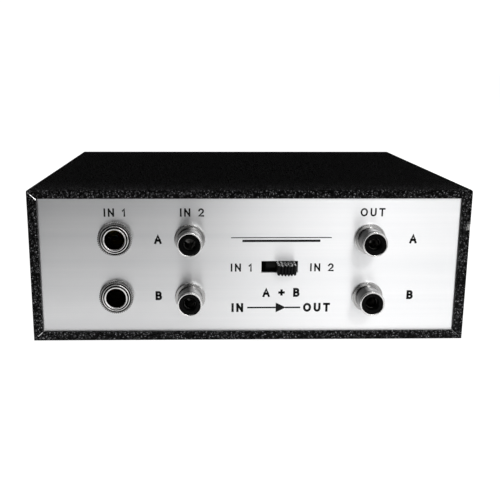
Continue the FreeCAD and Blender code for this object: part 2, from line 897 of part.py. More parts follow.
def stack_rivets():
    """Rivets that clamp both contact stacks to their jack frames."""
    rivets = []
    start = f"{PANEL} + {WALL_BACK} + mic_shoulder_thick"
    outer = "(mic_across - jack_frame_left)"
    for side, height in MIC_JACKS.items():
        for index, (along, up) in enumerate(stack_rivet_places(), start=1):
            back = f"{start} + {along}"
            level = f"foot_height + {height} + {up}"
            name = f"stack_rivet_{side}{index}"
            shank = rod(
                f"{name}_shank",
                "stack_rivet_radius",
                "jack_frame_sheet + stack_thick",
                (outer, back, level),
                axis="X",
            )
            head = rod(
                f"{name}_head",
                "stack_rivet_head",
                "stack_rivet_radius",
                (f"{outer} - stack_rivet_radius", back, level),
                axis="X",
            )
            rivets.append(fused(name, [shank, head]))
    group("mic_jack_rivets", rivets)


def pin_jack(name, across, height):
    """A pin jack: flanged shell, insulator and centre contact."""
    at = (across, PANEL, f"foot_height + {height}")
    inner = "(pin_barrel - pin_wall)"
    tail = f"({WALL_BACK} + pin_thread_long)"
    shell = turned(
        f"{name}_shell",
        [
            (inner, "-pin_reach"),
            ("pin_barrel - pin_edge", "-pin_reach"),
            ("pin_barrel", "-pin_reach + pin_edge"),
            ("pin_barrel", "-pin_flange_thick"),
            ("pin_flange - pin_edge", "-pin_flange_thick"),
            ("pin_flange", "-pin_flange_thick + pin_edge"),
            ("pin_flange", "0"),
            ("pin_thread", "0"),
            ("pin_thread", tail),
            (inner, tail),
        ],
        at,
    )
    node(shell, f"{name}_shell")
    front = "(-pin_reach + pin_insulator_recess)"
    mouth = f"({front} + pin_contact_recess)"
    step = f"({mouth} + pin_contact_deep)"
    end = f"({tail} + pin_insulator_tail)"
    insulator = turned(
        f"{name}_insulator",
        [
            (f"pin_contact_radius + pin_fit", front),
            (f"{inner} - pin_fit", front),
            (f"{inner} - pin_fit", end),
            ("pin_tail_radius + pin_fit", end),
            ("pin_tail_radius + pin_fit", f"{step} + pin_fit"),
            ("pin_contact_radius + pin_fit", f"{step} + pin_fit"),
        ],
        at,
    )
    node(insulator, f"{name}_insulator")
    contact = turned(
        f"{name}_contact",
        [
            ("pin_contact_bore", mouth),
            ("pin_contact_radius", mouth),
            ("pin_contact_radius", step),
            ("pin_tail_radius", step),
            ("pin_tail_radius", f"{end} + pin_tail_long"),
            ("0", f"{end} + pin_tail_long"),
            ("0", f"{step} - pin_contact_floor"),
            ("pin_contact_bore", f"{step} - pin_contact_floor"),
        ],
        at,
    )
    node(contact, f"{name}_contact")


def pin_jack_fixings():
    """The hexagon nuts and ring lugs behind the four pin jacks."""
    nuts = []
    lugs = []
    for name, (across, height) in PIN_JACKS.items():
        level = f"foot_height + {height}"
        hole = "pin_thread + hole_clearance"
        start = f"{PANEL} + {WALL_BACK}"
        lug = new_body(f"{name}_lug", (across, start, level))
        ring = new_sketch(lug, "XZ")
        circle(ring, "0", "0", "pin_lug_radius")
        pad(lug, ring, "pin_lug_sheet", backwards=True)
        tail = new_sketch(lug, "XZ")
        half = "pin_lug_width / 2"
        root = "(pin_thread + pin_lug_radius) / 2"
        rectangle(tail, root, f"-{half}", "pin_lug_radius + pin_lug_tail", half)
        pad(lug, tail, "pin_lug_sheet", backwards=True)
        eye = new_sketch(lug, "XZ")
        circle(eye, "0", "0", hole)
        pocket(lug, eye, "pin_lug_sheet")
        lugs.append(lug)
        nut = new_body(f"{name}_nut", (across, f"{start} + pin_lug_sheet", level))
        hexagon = new_sketch(nut, "XZ")
        corners = [
            (f"pin_nut_radius * {math.cos(turn):.9f}", f"pin_nut_radius * {math.sin(turn):.9f}")
            for turn in (math.pi / 3 * index for index in range(6))
        ]
        outline(hexagon, corners)
        circle(hexagon, "0", "0", hole)
        pad(nut, hexagon, "pin_nut_thick", backwards=True)
        nuts.append(nut)
    group("pin_jack_lugs", lugs)
    group("pin_jack_nuts", nuts)


KNOB_REST = "(switch_across + knob_travel / 2)"
SWITCH_LEVEL = "(foot_height + switch_height)"


def switch_knob():
    """The ribbed knob and its slider, at the right-hand end of the travel."""
    back = f"({WALL_BACK} + switch_sheet + slider_fit)"
    knob = new_body("slide_switch_knob", (KNOB_REST, PANEL, SWITCH_LEVEL))
    side = new_sketch(knob, "XY")
    half = "knob_wide / 2"
    crown = "knob_reach - knob_crown"
    tall = "(slot_tall - 2 * knob_side_fit)"
    outline(
        side,
        [
            (f"-{half}", f"{back}"),
            (f"-{half}", f"-({crown})"),
            (f"-{half} * knob_crown_across", f"-({crown} + knob_crown_middle)"),
            ("0", "-knob_reach"),
            (f"{half} * knob_crown_across", f"-({crown} + knob_crown_middle)"),
            (half, f"-({crown})"),
            (half, f"{back}"),
        ],
    )
    pad(knob, side, tall, both_ways=True)
    grooves = new_sketch(knob, "XZ")
    ribs = int(round(value("knob_ribs")))
    share = "(knob_wide / knob_ribs)"
    for index in range(1, ribs):
        centre = f"(-{half} + {index} * {share})"
        width = f"{share} * knob_rib_share / 2"
        for low, high in (
            (f"{tall} / 2 - knob_rib_deep", tall),
            (f"-{tall}", f"-{tall} / 2 + knob_rib_deep"),
        ):
            rectangle(grooves, f"{centre} - {width}", low, f"{centre} + {width}", high)
    pocket(knob, grooves, "3 * knob_reach", both_ways=True)
    slider = new_sketch(knob, "XZ")
    wide = "slider_wide / 2"
    reach = "slider_tall / 2"
    rectangle(slider, f"-{wide}", f"-{reach}", wide, reach)
    bind(slider, "AttachmentOffset.Base.z", f"-{back}")
    pad(knob, slider, "slider_thick", backwards=True)
    node(knob, "slide_switch_knob")
    contacts = []
    slack = "switch_deep - switch_base_thick - switch_sheet - slider_thick - 2 * slider_fit"
    for name, sign in (("upper", "+"), ("lower", "-")):
        level = f"{SWITCH_LEVEL} {sign} slider_contact_spread / 2"
        contacts.append(
            block(
                f"switch_contact_{name}",
                ("slider_contact_wide", slack, "slider_contact_tall"),
                (
                    f"{KNOB_REST} - slider_contact_wide / 2",
                    f"{PANEL} + {back} + slider_thick",
                    f"{level} - slider_contact_tall / 2",
                ),
            )
        )
    group("slide_switch_contacts", contacts)


def switch_housing():
    """Riveted steel frame, insulating base and terminals of the slide switch."""
    start = f"{PANEL} + {WALL_BACK}"
    frame = new_body("slide_switch_frame", ("switch_across", start, SWITCH_LEVEL))
    plate = new_sketch(frame, "XZ")
    ear = "(switch_ear_spread / 2 + switch_ear_margin)"
    tall = "(switch_tall / 2)"
    rectangle(plate, f"-{ear}", f"-{tall}", ear, tall)
    wide = "(slot_wide / 2 + switch_slot_margin)"
    slot = "(slot_tall / 2 + switch_slot_margin)"
    rectangle(plate, f"-{wide}", f"-{slot}", wide, slot)
    for sign in ("-1", "1"):
        circle(
            plate, f"{sign} * switch_ear_spread / 2", "0", "switch_rivet_radius + hole_clearance"
        )
    pad(frame, plate, "switch_sheet", backwards=True)
    walls = new_sketch(frame, "XZ")
    side = "switch_wide / 2"
    rectangle(walls, f"-{side}", f"{tall} - switch_sheet", side, tall)
    rectangle(walls, f"-{side}", f"-{tall}", side, f"-{tall} + switch_sheet")
    pad(frame, walls, "switch_deep", backwards=True)
    node(frame, "slide_switch_frame")

    inner = f"({tall} - switch_sheet)"
    base_front = f"({start} + switch_deep - switch_base_thick)"
    base = block(
        "slide_switch_base",
        ("switch_wide", "switch_base_thick", f"2 * {inner}"),
        (f"switch_across - {side}", base_front, f"{SWITCH_LEVEL} - {inner}"),
    )
    node(base, "slide_switch_base")
    terminals = []
    for row, sign in (("upper", "+"), ("lower", "-")):
        for index in (-1, 0, 1):
            middle = f"switch_across + {index} * terminal_pitch"
            level = f"{SWITCH_LEVEL} {sign} terminal_spread / 2"
            terminals.append(
                block(
                    f"switch_terminal_{row}_{index + 2}",
                    ("terminal_wide", "terminal_long", "terminal_sheet"),
                    (
                        f"{middle} - terminal_wide / 2",
                        f"{base_front} + switch_base_thick",
                        f"{level} - terminal_sheet / 2",
                    ),
                )
            )
    group("slide_switch_terminals", terminals)
    rivets = []
    for name, sign in (("left", "-"), ("right", "+")):
        grip = "(chassis_sheet + switch_sheet)"
        rivets.append(
            turned(
                f"switch_rivet_{name}",
                [
                    ("0", "0"),
                    ("switch_rivet_head", "0"),
                    ("switch_rivet_head", "chassis_sheet"),
                    ("switch_rivet_radius", "chassis_sheet"),
                    ("switch_rivet_radius", grip),
                    ("switch_rivet_head", grip),
                    (
                        "switch_rivet_head - switch_rivet_bevel",
                        f"{grip} + switch_rivet_tail",
                    ),
                    ("0", f"{grip} + switch_rivet_tail"),
                ],
                (
                    f"switch_across {sign} switch_ear_spread / 2",
                    f"{PANEL} + panel_sheet",
                    SWITCH_LEVEL,
                ),
            )
        )
    group("slide_switch_rivets", rivets)


def circuit_board():
    """The board on its standoffs, with their screws."""
    board = new_body("circuit_board", ("0", "0", BOARD_UNDER))
    laminate = new_sketch(board, "XY")
    rectangle(laminate, BOARD_LEFT, BOARD_FRONT, BOARD_RIGHT, BOARD_REAR)
    for across, back in BOARD_PLACES:
        circle(laminate, across, back, SCREW_HOLE)
    pad(board, laminate, "board_sheet")
    node(board, "circuit_board")
    posts = []
    fixings = []
    for index, (across, back) in enumerate(BOARD_PLACES, start=1):
        posts.append(
            turned(
                f"board_standoff_{index}",
                [
                    (SCREW_HOLE, "0"),
                    ("standoff_radius", "0"),
                    ("standoff_radius", "standoff_tall"),
                    (SCREW_HOLE, "standoff_tall"),
                ],
                (across, back, FLOOR_TOP),
                axis="Z",
            )
        )
        length = "board_sheet + standoff_tall - screw_tip_gap"
        fixings.append(
            screw(f"board_screw_{index}", (across, back, BOARD_TOP), length, towards=-1)
        )
    group("board_standoffs", posts)
    group("board_screws", fixings)


def transistor(label, across, back):
    """A small plastic transistor with a flat side, on its three legs."""
    base = f"({BOARD_TOP} + transistor_stand)"
    can = rod(f"{label}_can", "transistor_radius", "transistor_tall", (across, back, base))
    away = block(
        f"{label}_flat",
        ("4 * transistor_radius", "2 * transistor_radius", "2 * transistor_tall"),
        (
            f"{across} - 2 * transistor_radius",
            f"{back} + transistor_flat",
            f"{base} - transistor_tall / 2",
        ),
    )
    members = [cut(f"{label}_case", can, away)]
    for index in (-1, 0, 1):
        middle = f"{across} + {index} * transistor_leg_pitch"
        members.append(
            block(
                f"{label}_leg_{index + 2}",
                ("lead_wire", "lead_wire", "transistor_stand + lead_wire"),
                (f"{middle} - lead_wire / 2", back, BOARD_TOP),
            )
        )
    return fused(label, members)


def axial(label, across, back, radius, length):
    """A resistor or diode that lies on the board on its two bent leads."""
    level = f"({BOARD_TOP} + {radius})"
    wire = "lead_wire / 2"
    reach = f"({length} / 2 + resistor_leg)"
    members = [
        rod(f"{label}_body", radius, length, (f"{across} - {length} / 2", back, level), "X"),
        rod(f"{label}_wire", wire, f"2 * {reach}", (f"{across} - {reach}", back, level), "X"),
    ]
    for name, sign in (("left", "-"), ("right", "+")):
        members.append(
            rod(f"{label}_{name}", wire, radius, (f"{across} {sign} {reach}", back, BOARD_TOP))
        )
    return fused(label, members)


def board_parts():
    """Two like channels, one from each side of the board, with the supply behind them."""
    transistors = []
    electrolytics = []
    films = []
    resistors = []
    for channel, edge, sign in (("l", BOARD_LEFT, "+"), ("r", BOARD_RIGHT, "-")):
        for index in range(3):
            across = f"({edge} {sign} (channel_start + {index} * channel_pitch))"
            name = f"{channel}{index + 1}"
            back = f"{BOARD_FRONT} + transistor_row"
            transistors.append(transistor(f"transistor_{name}", across, back))
            electrolytics.append(
                rod(
                    f"electrolytic_{name}",
                    "electrolytic_radius",
                    "electrolytic_tall",
                    (across, f"{BOARD_FRONT} + electrolytic_row", BOARD_TOP),
                )
            )
            for row in range(2):
                back = f"{BOARD_FRONT} + resistor_row + {row} * resistor_row_pitch"
                label = f"resistor_{name}_{row + 1}"
                resistors.append(axial(label, across, back, "resistor_radius", "resistor_long"))
        for index in range(2):
            across = f"({edge} {sign} (channel_start + {index} * channel_pitch))"
            films.append(
                block(
                    f"film_capacitor_{channel}{index + 1}",
                    ("film_wide", "film_deep", "film_tall"),
                    (f"{across} - film_wide / 2", f"{BOARD_FRONT} + film_row", BOARD_TOP),
                )
            )
    group("transistors", transistors)
    group("electrolytic_capacitors", electrolytics)
    group("film_capacitors", films)
    group("resistors", resistors)
    diodes = []
    for row in range(2):
        back = f"{BOARD_REAR} - diode_row - {row} * diode_row_pitch"
        across = f"({BOARD_LEFT} + diode_start)"
        label = f"rectifier_diode_{row + 1}"
        diodes.append(axial(label, across, back, "diode_radius", "diode_long"))
    group("rectifier_diodes", diodes)
    middle = f"(({BOARD_LEFT} + {BOARD_RIGHT}) / 2)"
    can = rod(
        "filter_capacitor",
        "filter_radius",
        "filter_tall",
        (middle, f"{BOARD_REAR} - filter_row", BOARD_TOP),
    )
    node(can, "filter_capacitor")


def transformer():
    """Mains transformer: laminated core, winding on the middle leg, clamp and screws."""
    middle = f"({FRONT} + transformer_back)"
    core = new_body("transformer_core", (TRANSFORMER_ACROSS, middle, FLOOR_TOP))
    stack = new_sketch(core, "XZ")
    half = "core_wide / 2"
    rectangle(stack, f"-{half}", "0", half, "core_tall")
    for sign in ("-1", "1"):
        rectangle(
            stack,
            f"{sign} * core_centre_leg / 2",
            "core_leg",
            f"{sign} * ({half} - core_leg)",
            "core_tall - core_leg",
        )
    pad(core, stack, "core_deep", both_ways=True)
    node(core, "transformer_core")

    winding = new_body("transformer_winding", (TRANSFORMER_ACROSS, middle, FLOOR_TOP))
    wrap = new_sketch(winding, "XY")
    wide = f"({half} - core_leg - winding_fit)"
    deep = "(core_deep / 2 + winding_overhang)"
    rectangle(wrap, f"-{wide}", f"-{deep}", wide, deep)
    wide = "(core_centre_leg / 2 + winding_fit)"
    deep = "(core_deep / 2 + winding_fit)"
    rectangle(wrap, f"-{wide}", f"-{deep}", wide, deep)
    bind(wrap, "AttachmentOffset.Base.z", "core_leg + winding_fit")
    pad(winding, wrap, "core_tall - 2 * core_leg - 2 * winding_fit")
    node(winding, "transformer_winding")

    clamp = new_body("transformer_clamp", (TRANSFORMER_ACROSS, middle, FLOOR_TOP))
    strap = new_sketch(clamp, "XZ")
    outer = f"({half} + clamp_sheet)"
    foot = f"({outer} + clamp_foot)"
    outline(
        strap,
        [
            (f"-{foot}", "0"),
            (f"-{half}", "0"),
            (f"-{half}", "core_tall"),
            (half, "core_tall"),
            (half, "0"),
            (foot, "0"),
            (foot, "clamp_sheet"),
            (outer, "clamp_sheet"),
            (outer, "core_tall + clamp_sheet"),
            (f"-{outer}", "core_tall + clamp_sheet"),
            (f"-{outer}", "clamp_sheet"),
            (f"-{foot}", "clamp_sheet"),
        ],
    )
    pad(clamp, strap, "core_deep - clamp_inset", both_ways=True)
    holes = new_sketch(clamp, "XY")
    for across, _ in TRANSFORMER_PLACES:
        circle(holes, f"{across} - {TRANSFORMER_ACROSS}", "0", SCREW_HOLE)
    pocket(clamp, holes, "3 * clamp_sheet", both_ways=True)
    node(clamp, "transformer_clamp")
    length = "clamp_sheet + chassis_sheet - screw_tip_gap"
    seat = f"{FLOOR_TOP} + clamp_sheet"
    fixings = [
        screw(f"transformer_screw_{index}", (across, back, seat), length, towards=-1)
        for index, (across, back) in enumerate(TRANSFORMER_PLACES, start=1)
    ]
    group("transformer_screws", fixings)


def tag_place(index):
    """The middle of one tag along the strip."""
    return f"({TAG_ACROSS} + tag_strip_wide * (({index} + 0.5) / tag_count - 0.5))"


def tag_strip():
    """Insulating strip on a foot, with the tags that take the mains and primary leads."""
    back = f"({FRONT} + tag_back)"
    strip = new_body("mains_tag_strip", (TAG_ACROSS, back, FLOOR_TOP))
    bent = new_sketch(strip, "YZ")
    outline(
        bent,
        [
            ("0", "0"),
            ("tag_foot", "0"),
            ("tag_foot", "tag_strip_sheet"),
            ("tag_strip_sheet", "tag_strip_sheet"),
            ("tag_strip_sheet", "tag_strip_tall"),
            ("0", "tag_strip_tall"),
        ],
    )
    pad(strip, bent, "tag_strip_wide", both_ways=True)
    node(strip, "mains_tag_strip")
    tags = []
    for index in range(int(round(value("tag_count")))):
        across = tag_place(index)
        tags.append(
            block(
                f"mains_tag_{index + 1}",
                ("tag_wide", "tag_sheet", "tag_tall"),
                (
                    f"{across} - tag_wide / 2",
                    f"{back} + tag_strip_sheet / 2 - tag_sheet / 2",
                    f"{FLOOR_TOP} + tag_strip_tall",
                ),
            )
        )
    group("mains_tags", tags)


def lead(points):
    """An insulated wire: straight runs joined by the largest tangent arcs that they allow."""
    route = [FreeCAD.Vector(*(value(part) for part in point)) for point in points]
    edges = []
    start = route[0]
    length = 0.0
    for before, corner, after in zip(route, route[1:], route[2:]):
        inward = (corner - before).normalize()
        outward = (after - corner).normalize()
        half_turn = inward.getAngle(outward) / 2
        run = 0.45 * min((corner - before).Length, (after - corner).Length)
        radius = run / math.tan(half_turn)
        middle = (outward - inward).normalize()
        middle = corner + middle * (radius / math.cos(half_turn) - radius)
        arc = Part.Arc(corner - inward * run, middle, corner + outward * run)
        edges.append(Part.makeLine(start, corner - inward * run))
        edges.append(arc.toShape())
        length += edges[-2].Length + edges[-1].Length
        start = corner + outward * run
    edges.append(Part.makeLine(start, route[-1]))
    length += edges[-1].Length
    spine = Part.Wire(edges)
    radius = value("wire_radius")
    section = Part.Wire(Part.makeCircle(radius, route[0], route[1] - route[0]))
    tube = spine.makePipeShell([section], True, False)
    expected = math.pi * radius * radius * length
    if abs(tube.Volume - expected) > 0.01 * expected:
        raise ValueError("a lead's volume differs from its section times its length")
    return tube


def leads(label, routes):
    item = document.addObject("Part::Feature", label)
    item.Shape = Part.makeCompound([lead(points) for points in routes])
    item.Placement = FreeCAD.Placement()
    node(item, label)


def wiring():
    """Signal leads from the jacks to the board, and the transformer's leads."""
    signal = [pin_jack_lead(across, height) for across, height in PIN_JACKS.values()]
    signal += [mic_jack_lead(row, height) for row, height in enumerate(MIC_JACKS.values())]
    leads("signal_leads", signal)
    routes = [supply_lead(row) for row in range(2)]
    routes += [primary_lead(row) for row in range(2)]
    leads("transformer_leads", routes)


def pin_jack_lead(across, height):
    """From a pin jack's centre tail down to the front edge of the board."""
    tail = f"({PANEL} + {WALL_BACK} + pin_thread_long + pin_insulator_tail + pin_tail_long)"
    level = f"(foot_height + {height})"
    reach = "near" if height == "pin_upper" else "far"
    if across == "phono_across":
        side = f"({BOARD_LEFT} + wire_{reach}_aside)"
    else:
        aside = "far" if reach == "near" else "near"
        side = f"({BOARD_RIGHT} - wire_{aside}_aside)"
    landing = f"({BOARD_FRONT} + wire_{reach})"
    middle = f"(({level} + {BOARD_TOP}) / 2 + wire_lift)"
    return [
        (across, tail, level),
        (across, f"({tail} + {landing}) / 2", level),
        (side, landing, middle),
        (side, landing, BOARD_TOP),
    ]


def mic_jack_lead(row, height):
    """From a microphone jack's lug to the left edge of the board."""
    start = f"({PANEL} + {WALL_BACK} + mic_shoulder_thick + stack_start"
    start += " + stack_long / 2 + lug_long / 2)"
    across = "(mic_across - jack_frame_left + jack_frame_sheet + stack_thick / 2)"
    level = f"(foot_height + {height} + stack_tall / 2 + lug_tall / 2)"
    landing = f"({BOARD_FRONT} + wire_mic_row + {row} * wire_mic_pitch)"
    side = f"({BOARD_LEFT} + wire_mic_aside)"
    return [
        (across, start, level),
        (across, f"({start} + wire_mic_run)", level),
        (side, landing, f"({BOARD_TOP} + wire_rise)"),
        (side, landing, BOARD_TOP),
    ]


WINDING_TOP = f"({FLOOR_TOP} + core_tall - core_leg - winding_fit - wire_supply_drop)"
WINDING_REACH = "(core_deep / 2 + winding_overhang)"


def winding_start(row):
    """Where a transformer lead leaves the winding, from left to right."""
    return f"({TRANSFORMER_ACROSS} + ({row} - 0.5) * wire_supply_spread)"


def supply_lead(row):
    """From the winding's rear face to the rear left corner of the board."""
    back = f"({FRONT} + transformer_back + {WINDING_REACH})"
    landing = f"({BOARD_REAR} - wire_near - {row} * wire_supply_pitch)"
    side = f"({BOARD_LEFT} + wire_supply_aside)"
    return [
        (winding_start(row), back, WINDING_TOP),
        (winding_start(row), f"({back} + wire_supply_run - {row} * wire_near)", WINDING_TOP),
        (side, landing, f"({BOARD_TOP} + wire_rise)"),
        (side, landing, BOARD_TOP),
    ]


def primary_lead(row):
    """From the winding's front face to one of the middle tags."""
    front = f"({FRONT} + transformer_back - {WINDING_REACH})"
    tag_top = f"({FLOOR_TOP} + tag_strip_tall + tag_tall)"
    tag_middle = f"({FRONT} + tag_back + tag_strip_sheet / 2)"
    return [
        (winding_start(row), front, WINDING_TOP),
        (winding_start(row), f"({front} - wire_supply_run)", WINDING_TOP),
        (tag_place(row + 1), tag_middle, f"({tag_top} + wire_tag_rise)"),
        (tag_place(row + 1), tag_middle, tag_top),
    ]


def check_document():
    """Stops when anything in the document failed or a sub-part has no valid shape."""
    for item in document.Objects:
        if "Invalid" in item.State or "Error" in item.State:
            raise ValueError(f"{item.Label} failed: {item.State}")
    for item in nodes:
        if item.Shape.isNull() or not item.Shape.isValid() or not item.Shape.Solids:
            raise ValueError(f"{item.Label} has no valid shape")


top_cover()
bottom_cover()
front_panel()
chassis()
rear_panel()
rear_fittings()
feet()
mic_jacks()
stack_rivets()
for jack_name, (jack_across, jack_height) in PIN_JACKS.items():
    pin_jack(jack_name, jack_across, jack_height)
pin_jack_fixings()
switch_knob()
switch_housing()
circuit_board()
board_parts()
transformer()
tag_strip()
document.recompute()
wiring()
document.recompute()
check_document()
for item in nodes:
    item.Shape.exportStep(f"parts/{item.Label}.step")
print(len(nodes), "sub-parts")
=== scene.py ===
import json
import logging
import math
from collections.abc import Callable, Sequence
from dataclasses import dataclass
from enum import Enum
from functools import reduce

import bmesh
import bpy
from mathutils import Matrix, Vector

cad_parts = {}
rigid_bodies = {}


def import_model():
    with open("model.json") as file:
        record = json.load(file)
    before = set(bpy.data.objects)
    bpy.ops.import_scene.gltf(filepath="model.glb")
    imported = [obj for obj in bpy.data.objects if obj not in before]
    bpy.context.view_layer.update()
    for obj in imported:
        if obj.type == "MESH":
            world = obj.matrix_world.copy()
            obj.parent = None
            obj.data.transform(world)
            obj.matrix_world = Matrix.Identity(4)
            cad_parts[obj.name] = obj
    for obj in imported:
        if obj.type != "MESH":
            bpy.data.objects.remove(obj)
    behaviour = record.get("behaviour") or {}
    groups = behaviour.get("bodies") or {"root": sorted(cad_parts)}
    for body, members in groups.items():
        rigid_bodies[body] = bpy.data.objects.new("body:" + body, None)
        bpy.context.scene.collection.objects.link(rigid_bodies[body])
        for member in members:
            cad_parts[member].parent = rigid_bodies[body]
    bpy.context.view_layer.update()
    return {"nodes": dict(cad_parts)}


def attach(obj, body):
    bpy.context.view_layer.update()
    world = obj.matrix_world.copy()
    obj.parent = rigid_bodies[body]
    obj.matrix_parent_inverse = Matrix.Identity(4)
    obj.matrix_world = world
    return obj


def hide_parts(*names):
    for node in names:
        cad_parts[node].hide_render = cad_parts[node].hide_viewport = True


# Looks of the two-channel phono and microphone preamplifier.
# Blender works in metres. Sizes below are in millimetres and turned by MM where a mesh is made.
# X runs to the right seen from the front, Y to the rear, Z up from the surface it stands on.

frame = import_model()
NODES = frame["nodes"]
MM = 0.001
METRE = 1000.0
CASE_FRONT = -53.85
PANEL_FACE = -52.85
log = logging.getLogger("preamp")

Colour = tuple[float, float, float]
Point = tuple[float, float]
Place = tuple[float, float, float]
Shape = bmesh.types.BMesh
Piece = bpy.types.Object
Socket = bpy.types.NodeSocket


class Slot(Enum):
    """Material slots of the record, passed with each new piece but not given to it."""

    VINYL = "vinyl_steel"
    PANEL = "brushed_panel"
    PLATED = "plated_steel"
    REAR = "painted_rear"
    NICKEL = "bright_nickel"
    INSULATOR = "black_insulator"
    SWITCH = "switch_plastic"
    RUBBER = "rubber"
    BLACK = "component_black"


class Axis(Enum):
    """The line that a turned piece is turned about."""

    FRONT_TO_BACK = "y"
    UPRIGHT = "z"


class NodeTree:
    """A shader tree with short calls for adding nodes and joining them."""

    def __init__(self, tree: bpy.types.NodeTree) -> None:
        """Keeps the tree that the calls work on."""
        self.tree = tree

    def add(self, kind: str, *terms: object, **settings: object) -> bpy.types.Node:
        """Adds a node.

        Args:
            kind: the node's type, without its ShaderNode prefix.
            terms: values or sockets for its first inputs, in order.
            settings: properties in lower case; inputs with a capital, as values or sockets.

        Returns:
            The new node.
        """
        node = self.tree.nodes.new(f"ShaderNode{kind}")
        for name, setting in settings.items():
            if name[0].islower():
                setattr(node, name, setting)
            else:
                self.feed(node.inputs[name.replace("_", " ")], setting)
        for socket, term in zip(node.inputs, terms):
            self.feed(socket, term)
        return node

    def feed(self, socket: Socket, setting: object) -> None:
        """Joins a socket to the input, or sets the input to a value.

        Args:
            socket: the input.
            setting: a socket, a number, a vector, or a colour as red, green and blue.
        """
        if isinstance(setting, Socket):
            self.tree.links.new(setting, socket)
        elif socket.type == "RGBA":
            socket.default_value = (*setting, 1.0)
        else:
            socket.default_value = setting

    def sum(self, operation: str, *terms: object) -> Socket:
        """Adds a Math node and returns its result."""
        return self.add("Math", *terms, operation=operation).outputs[0]

    def times(self, *factors: object) -> Socket:
        """Multiplies values, from the first on."""
        return reduce(lambda product, factor: self.sum("MULTIPLY", product, factor), factors)

    def plus(self, *terms: object) -> Socket:
        """Adds values, from the first on."""
        return reduce(lambda total, term: self.sum("ADD", total, term), terms)

    def less(self, whole: object, part: object) -> Socket:
        """Takes one value off another."""
        return self.sum("SUBTRACT", whole, part)

    def vector(self, operation: str, *terms: object, **more: object) -> Socket:
        """Adds a Vector Math node and returns its result, a vector or a single value."""
        node = self.add("VectorMath", *terms, operation=operation, **more)
        return node.outputs["Value" if operation in ("DOT_PRODUCT", "DISTANCE") else "Vector"]

    def part(self, letter: str, vector: Socket) -> Socket:
        """Picks one part of a vector: X, Y or Z."""
        return self.add("SeparateXYZ", vector).outputs[letter]

    def spread(
        self, value: object, start: float, end: float, low: float = 0.0, high: float = 1.0
    ) -> Socket:
        """Maps the values from start to end onto those from low to high, held at both ends."""
        return self.add("MapRange", value, start, end, low, high).outputs[0]

    def blend(self, share: object, first: object, second: object) -> Socket:
        """Mixes two colours by a share.

        Args:
            share: how much of the second shows.
            first: a colour, as a socket or as red, green and blue.
            second: the other one.

        Returns:
            The mixed colour's socket.
        """
        node = self.add("Mix", data_type="RGBA")
        for index, setting in ((0, share), (6, first), (7, second)):
            self.feed(node.inputs[index], setting)
        return node.outputs[2]

    def place(self, scale: Place | None = None) -> Socket:
        """Gives the point on the piece in metres, stretched by scale if there is one."""
        point = self.add("TexCoord").outputs["Object"]
        return point if scale is None else self.add("Mapping", Vector=point, Scale=scale).outputs[0]

    def noise(self, size: object, detail: float = 2.0, **more: object) -> Socket:
        """Adds a noise.

        Args:
            size: its features' size in millimetres, or a socket with how many fit in a metre.
            detail: how many finer layers it has.
            more: its other inputs.

        Returns:
            The socket of its value.
        """
        more.setdefault("Vector", self.place())
        scale = 1.0 / (size * MM) if isinstance(size, float) else size
        return self.add("TexNoise", Scale=scale, Detail=detail, **more).outputs[0]


def leather_grain(tree: NodeTree, cells: Socket) -> dict[str, Socket]:
    """Pebbles with creases between them, as on leatherette.

    Args:
        tree: the group's tree.
        cells: how many pebbles lie along a metre.

    Returns:
        The relief, the creases and the specks on pebble tops that carry painted glints.
    """
    point = tree.place()
    bent = tree.add("TexNoise", Vector=point, Scale=tree.times(cells, 0.7), Detail=1.0)
    warped = tree.vector("ADD", point, tree.vector("SCALE", bent.outputs["Color"], Scale=0.0006))
    pebble = tree.add("TexVoronoi", Vector=warped, Scale=cells)
    gap = tree.add("TexVoronoi", feature="DISTANCE_TO_EDGE", Vector=warped, Scale=cells)
    crease = tree.spread(gap.outputs["Distance"], 0.0, 0.16, 1.0, 0.0)
    fine = tree.noise(tree.times(cells, 3.1), Vector=point)
    dome = tree.less(0.85, pebble.outputs["Distance"])
    offset = tree.vector("SUBTRACT", warped, pebble.outputs["Position"])
    lean = tree.vector("SUBTRACT", pebble.outputs["Color"], (0.5, 0.5, 0.5))
    tilted = tree.times(tree.vector("DOT_PRODUCT", offset, lean), cells, 1.3)
    relief = tree.plus(dome, tilted, tree.times(fine, 0.5))
    drawn_out = tree.noise(tree.times(cells, 2.9), Vector=tree.place((1.0, 0.28, 1.0)))
    spots = tree.sum("POWER", tree.spread(drawn_out, 0.46, 0.68), 1.6)
    return {
        "Height": tree.less(relief, tree.times(crease, 0.55)),
        "Crease": crease,
        "Worn": tree.times(spots, tree.spread(relief, 0.45, 0.85)),
    }


def brushed_lines(tree: NodeTree, lines: Socket) -> dict[str, Socket]:
    """Fine lines along X, as left by a sanding belt.

    Args:
        tree: the group's tree.
        lines: how many lines cross a metre.

    Returns:
        The relief and the tone.
    """
    stretch = tree.add("CombineXYZ", 12.0, lines, lines).outputs[0]
    moved = tree.vector("MULTIPLY", tree.place(), stretch)
    scratches = tree.noise(METRE, 3.0, Vector=moved)
    bands = tree.noise(METRE, 2.0, Vector=tree.place((4.0, 260.0, 260.0)))
    tone = tree.plus(tree.times(scratches, 0.45), bands)
    return {"Height": scratches, "Tone": tree.spread(tone, 0.45, 1.0)}


def fine_grain(tree: NodeTree, grains: Socket) -> dict[str, Socket]:
    """A moulded or plated surface's fine unevenness.

    Args:
        tree: the group's tree.
        grains: how many grains cross a metre.

    Returns:
        The relief and the tone.
    """
    small = tree.noise(grains, 3.0)
    broad = tree.noise(tree.times(grains, 0.06), 3.0)
    return {"Height": tree.plus(tree.times(small, 0.4), broad), "Tone": tree.spread(broad, 0.3, 0.7)}


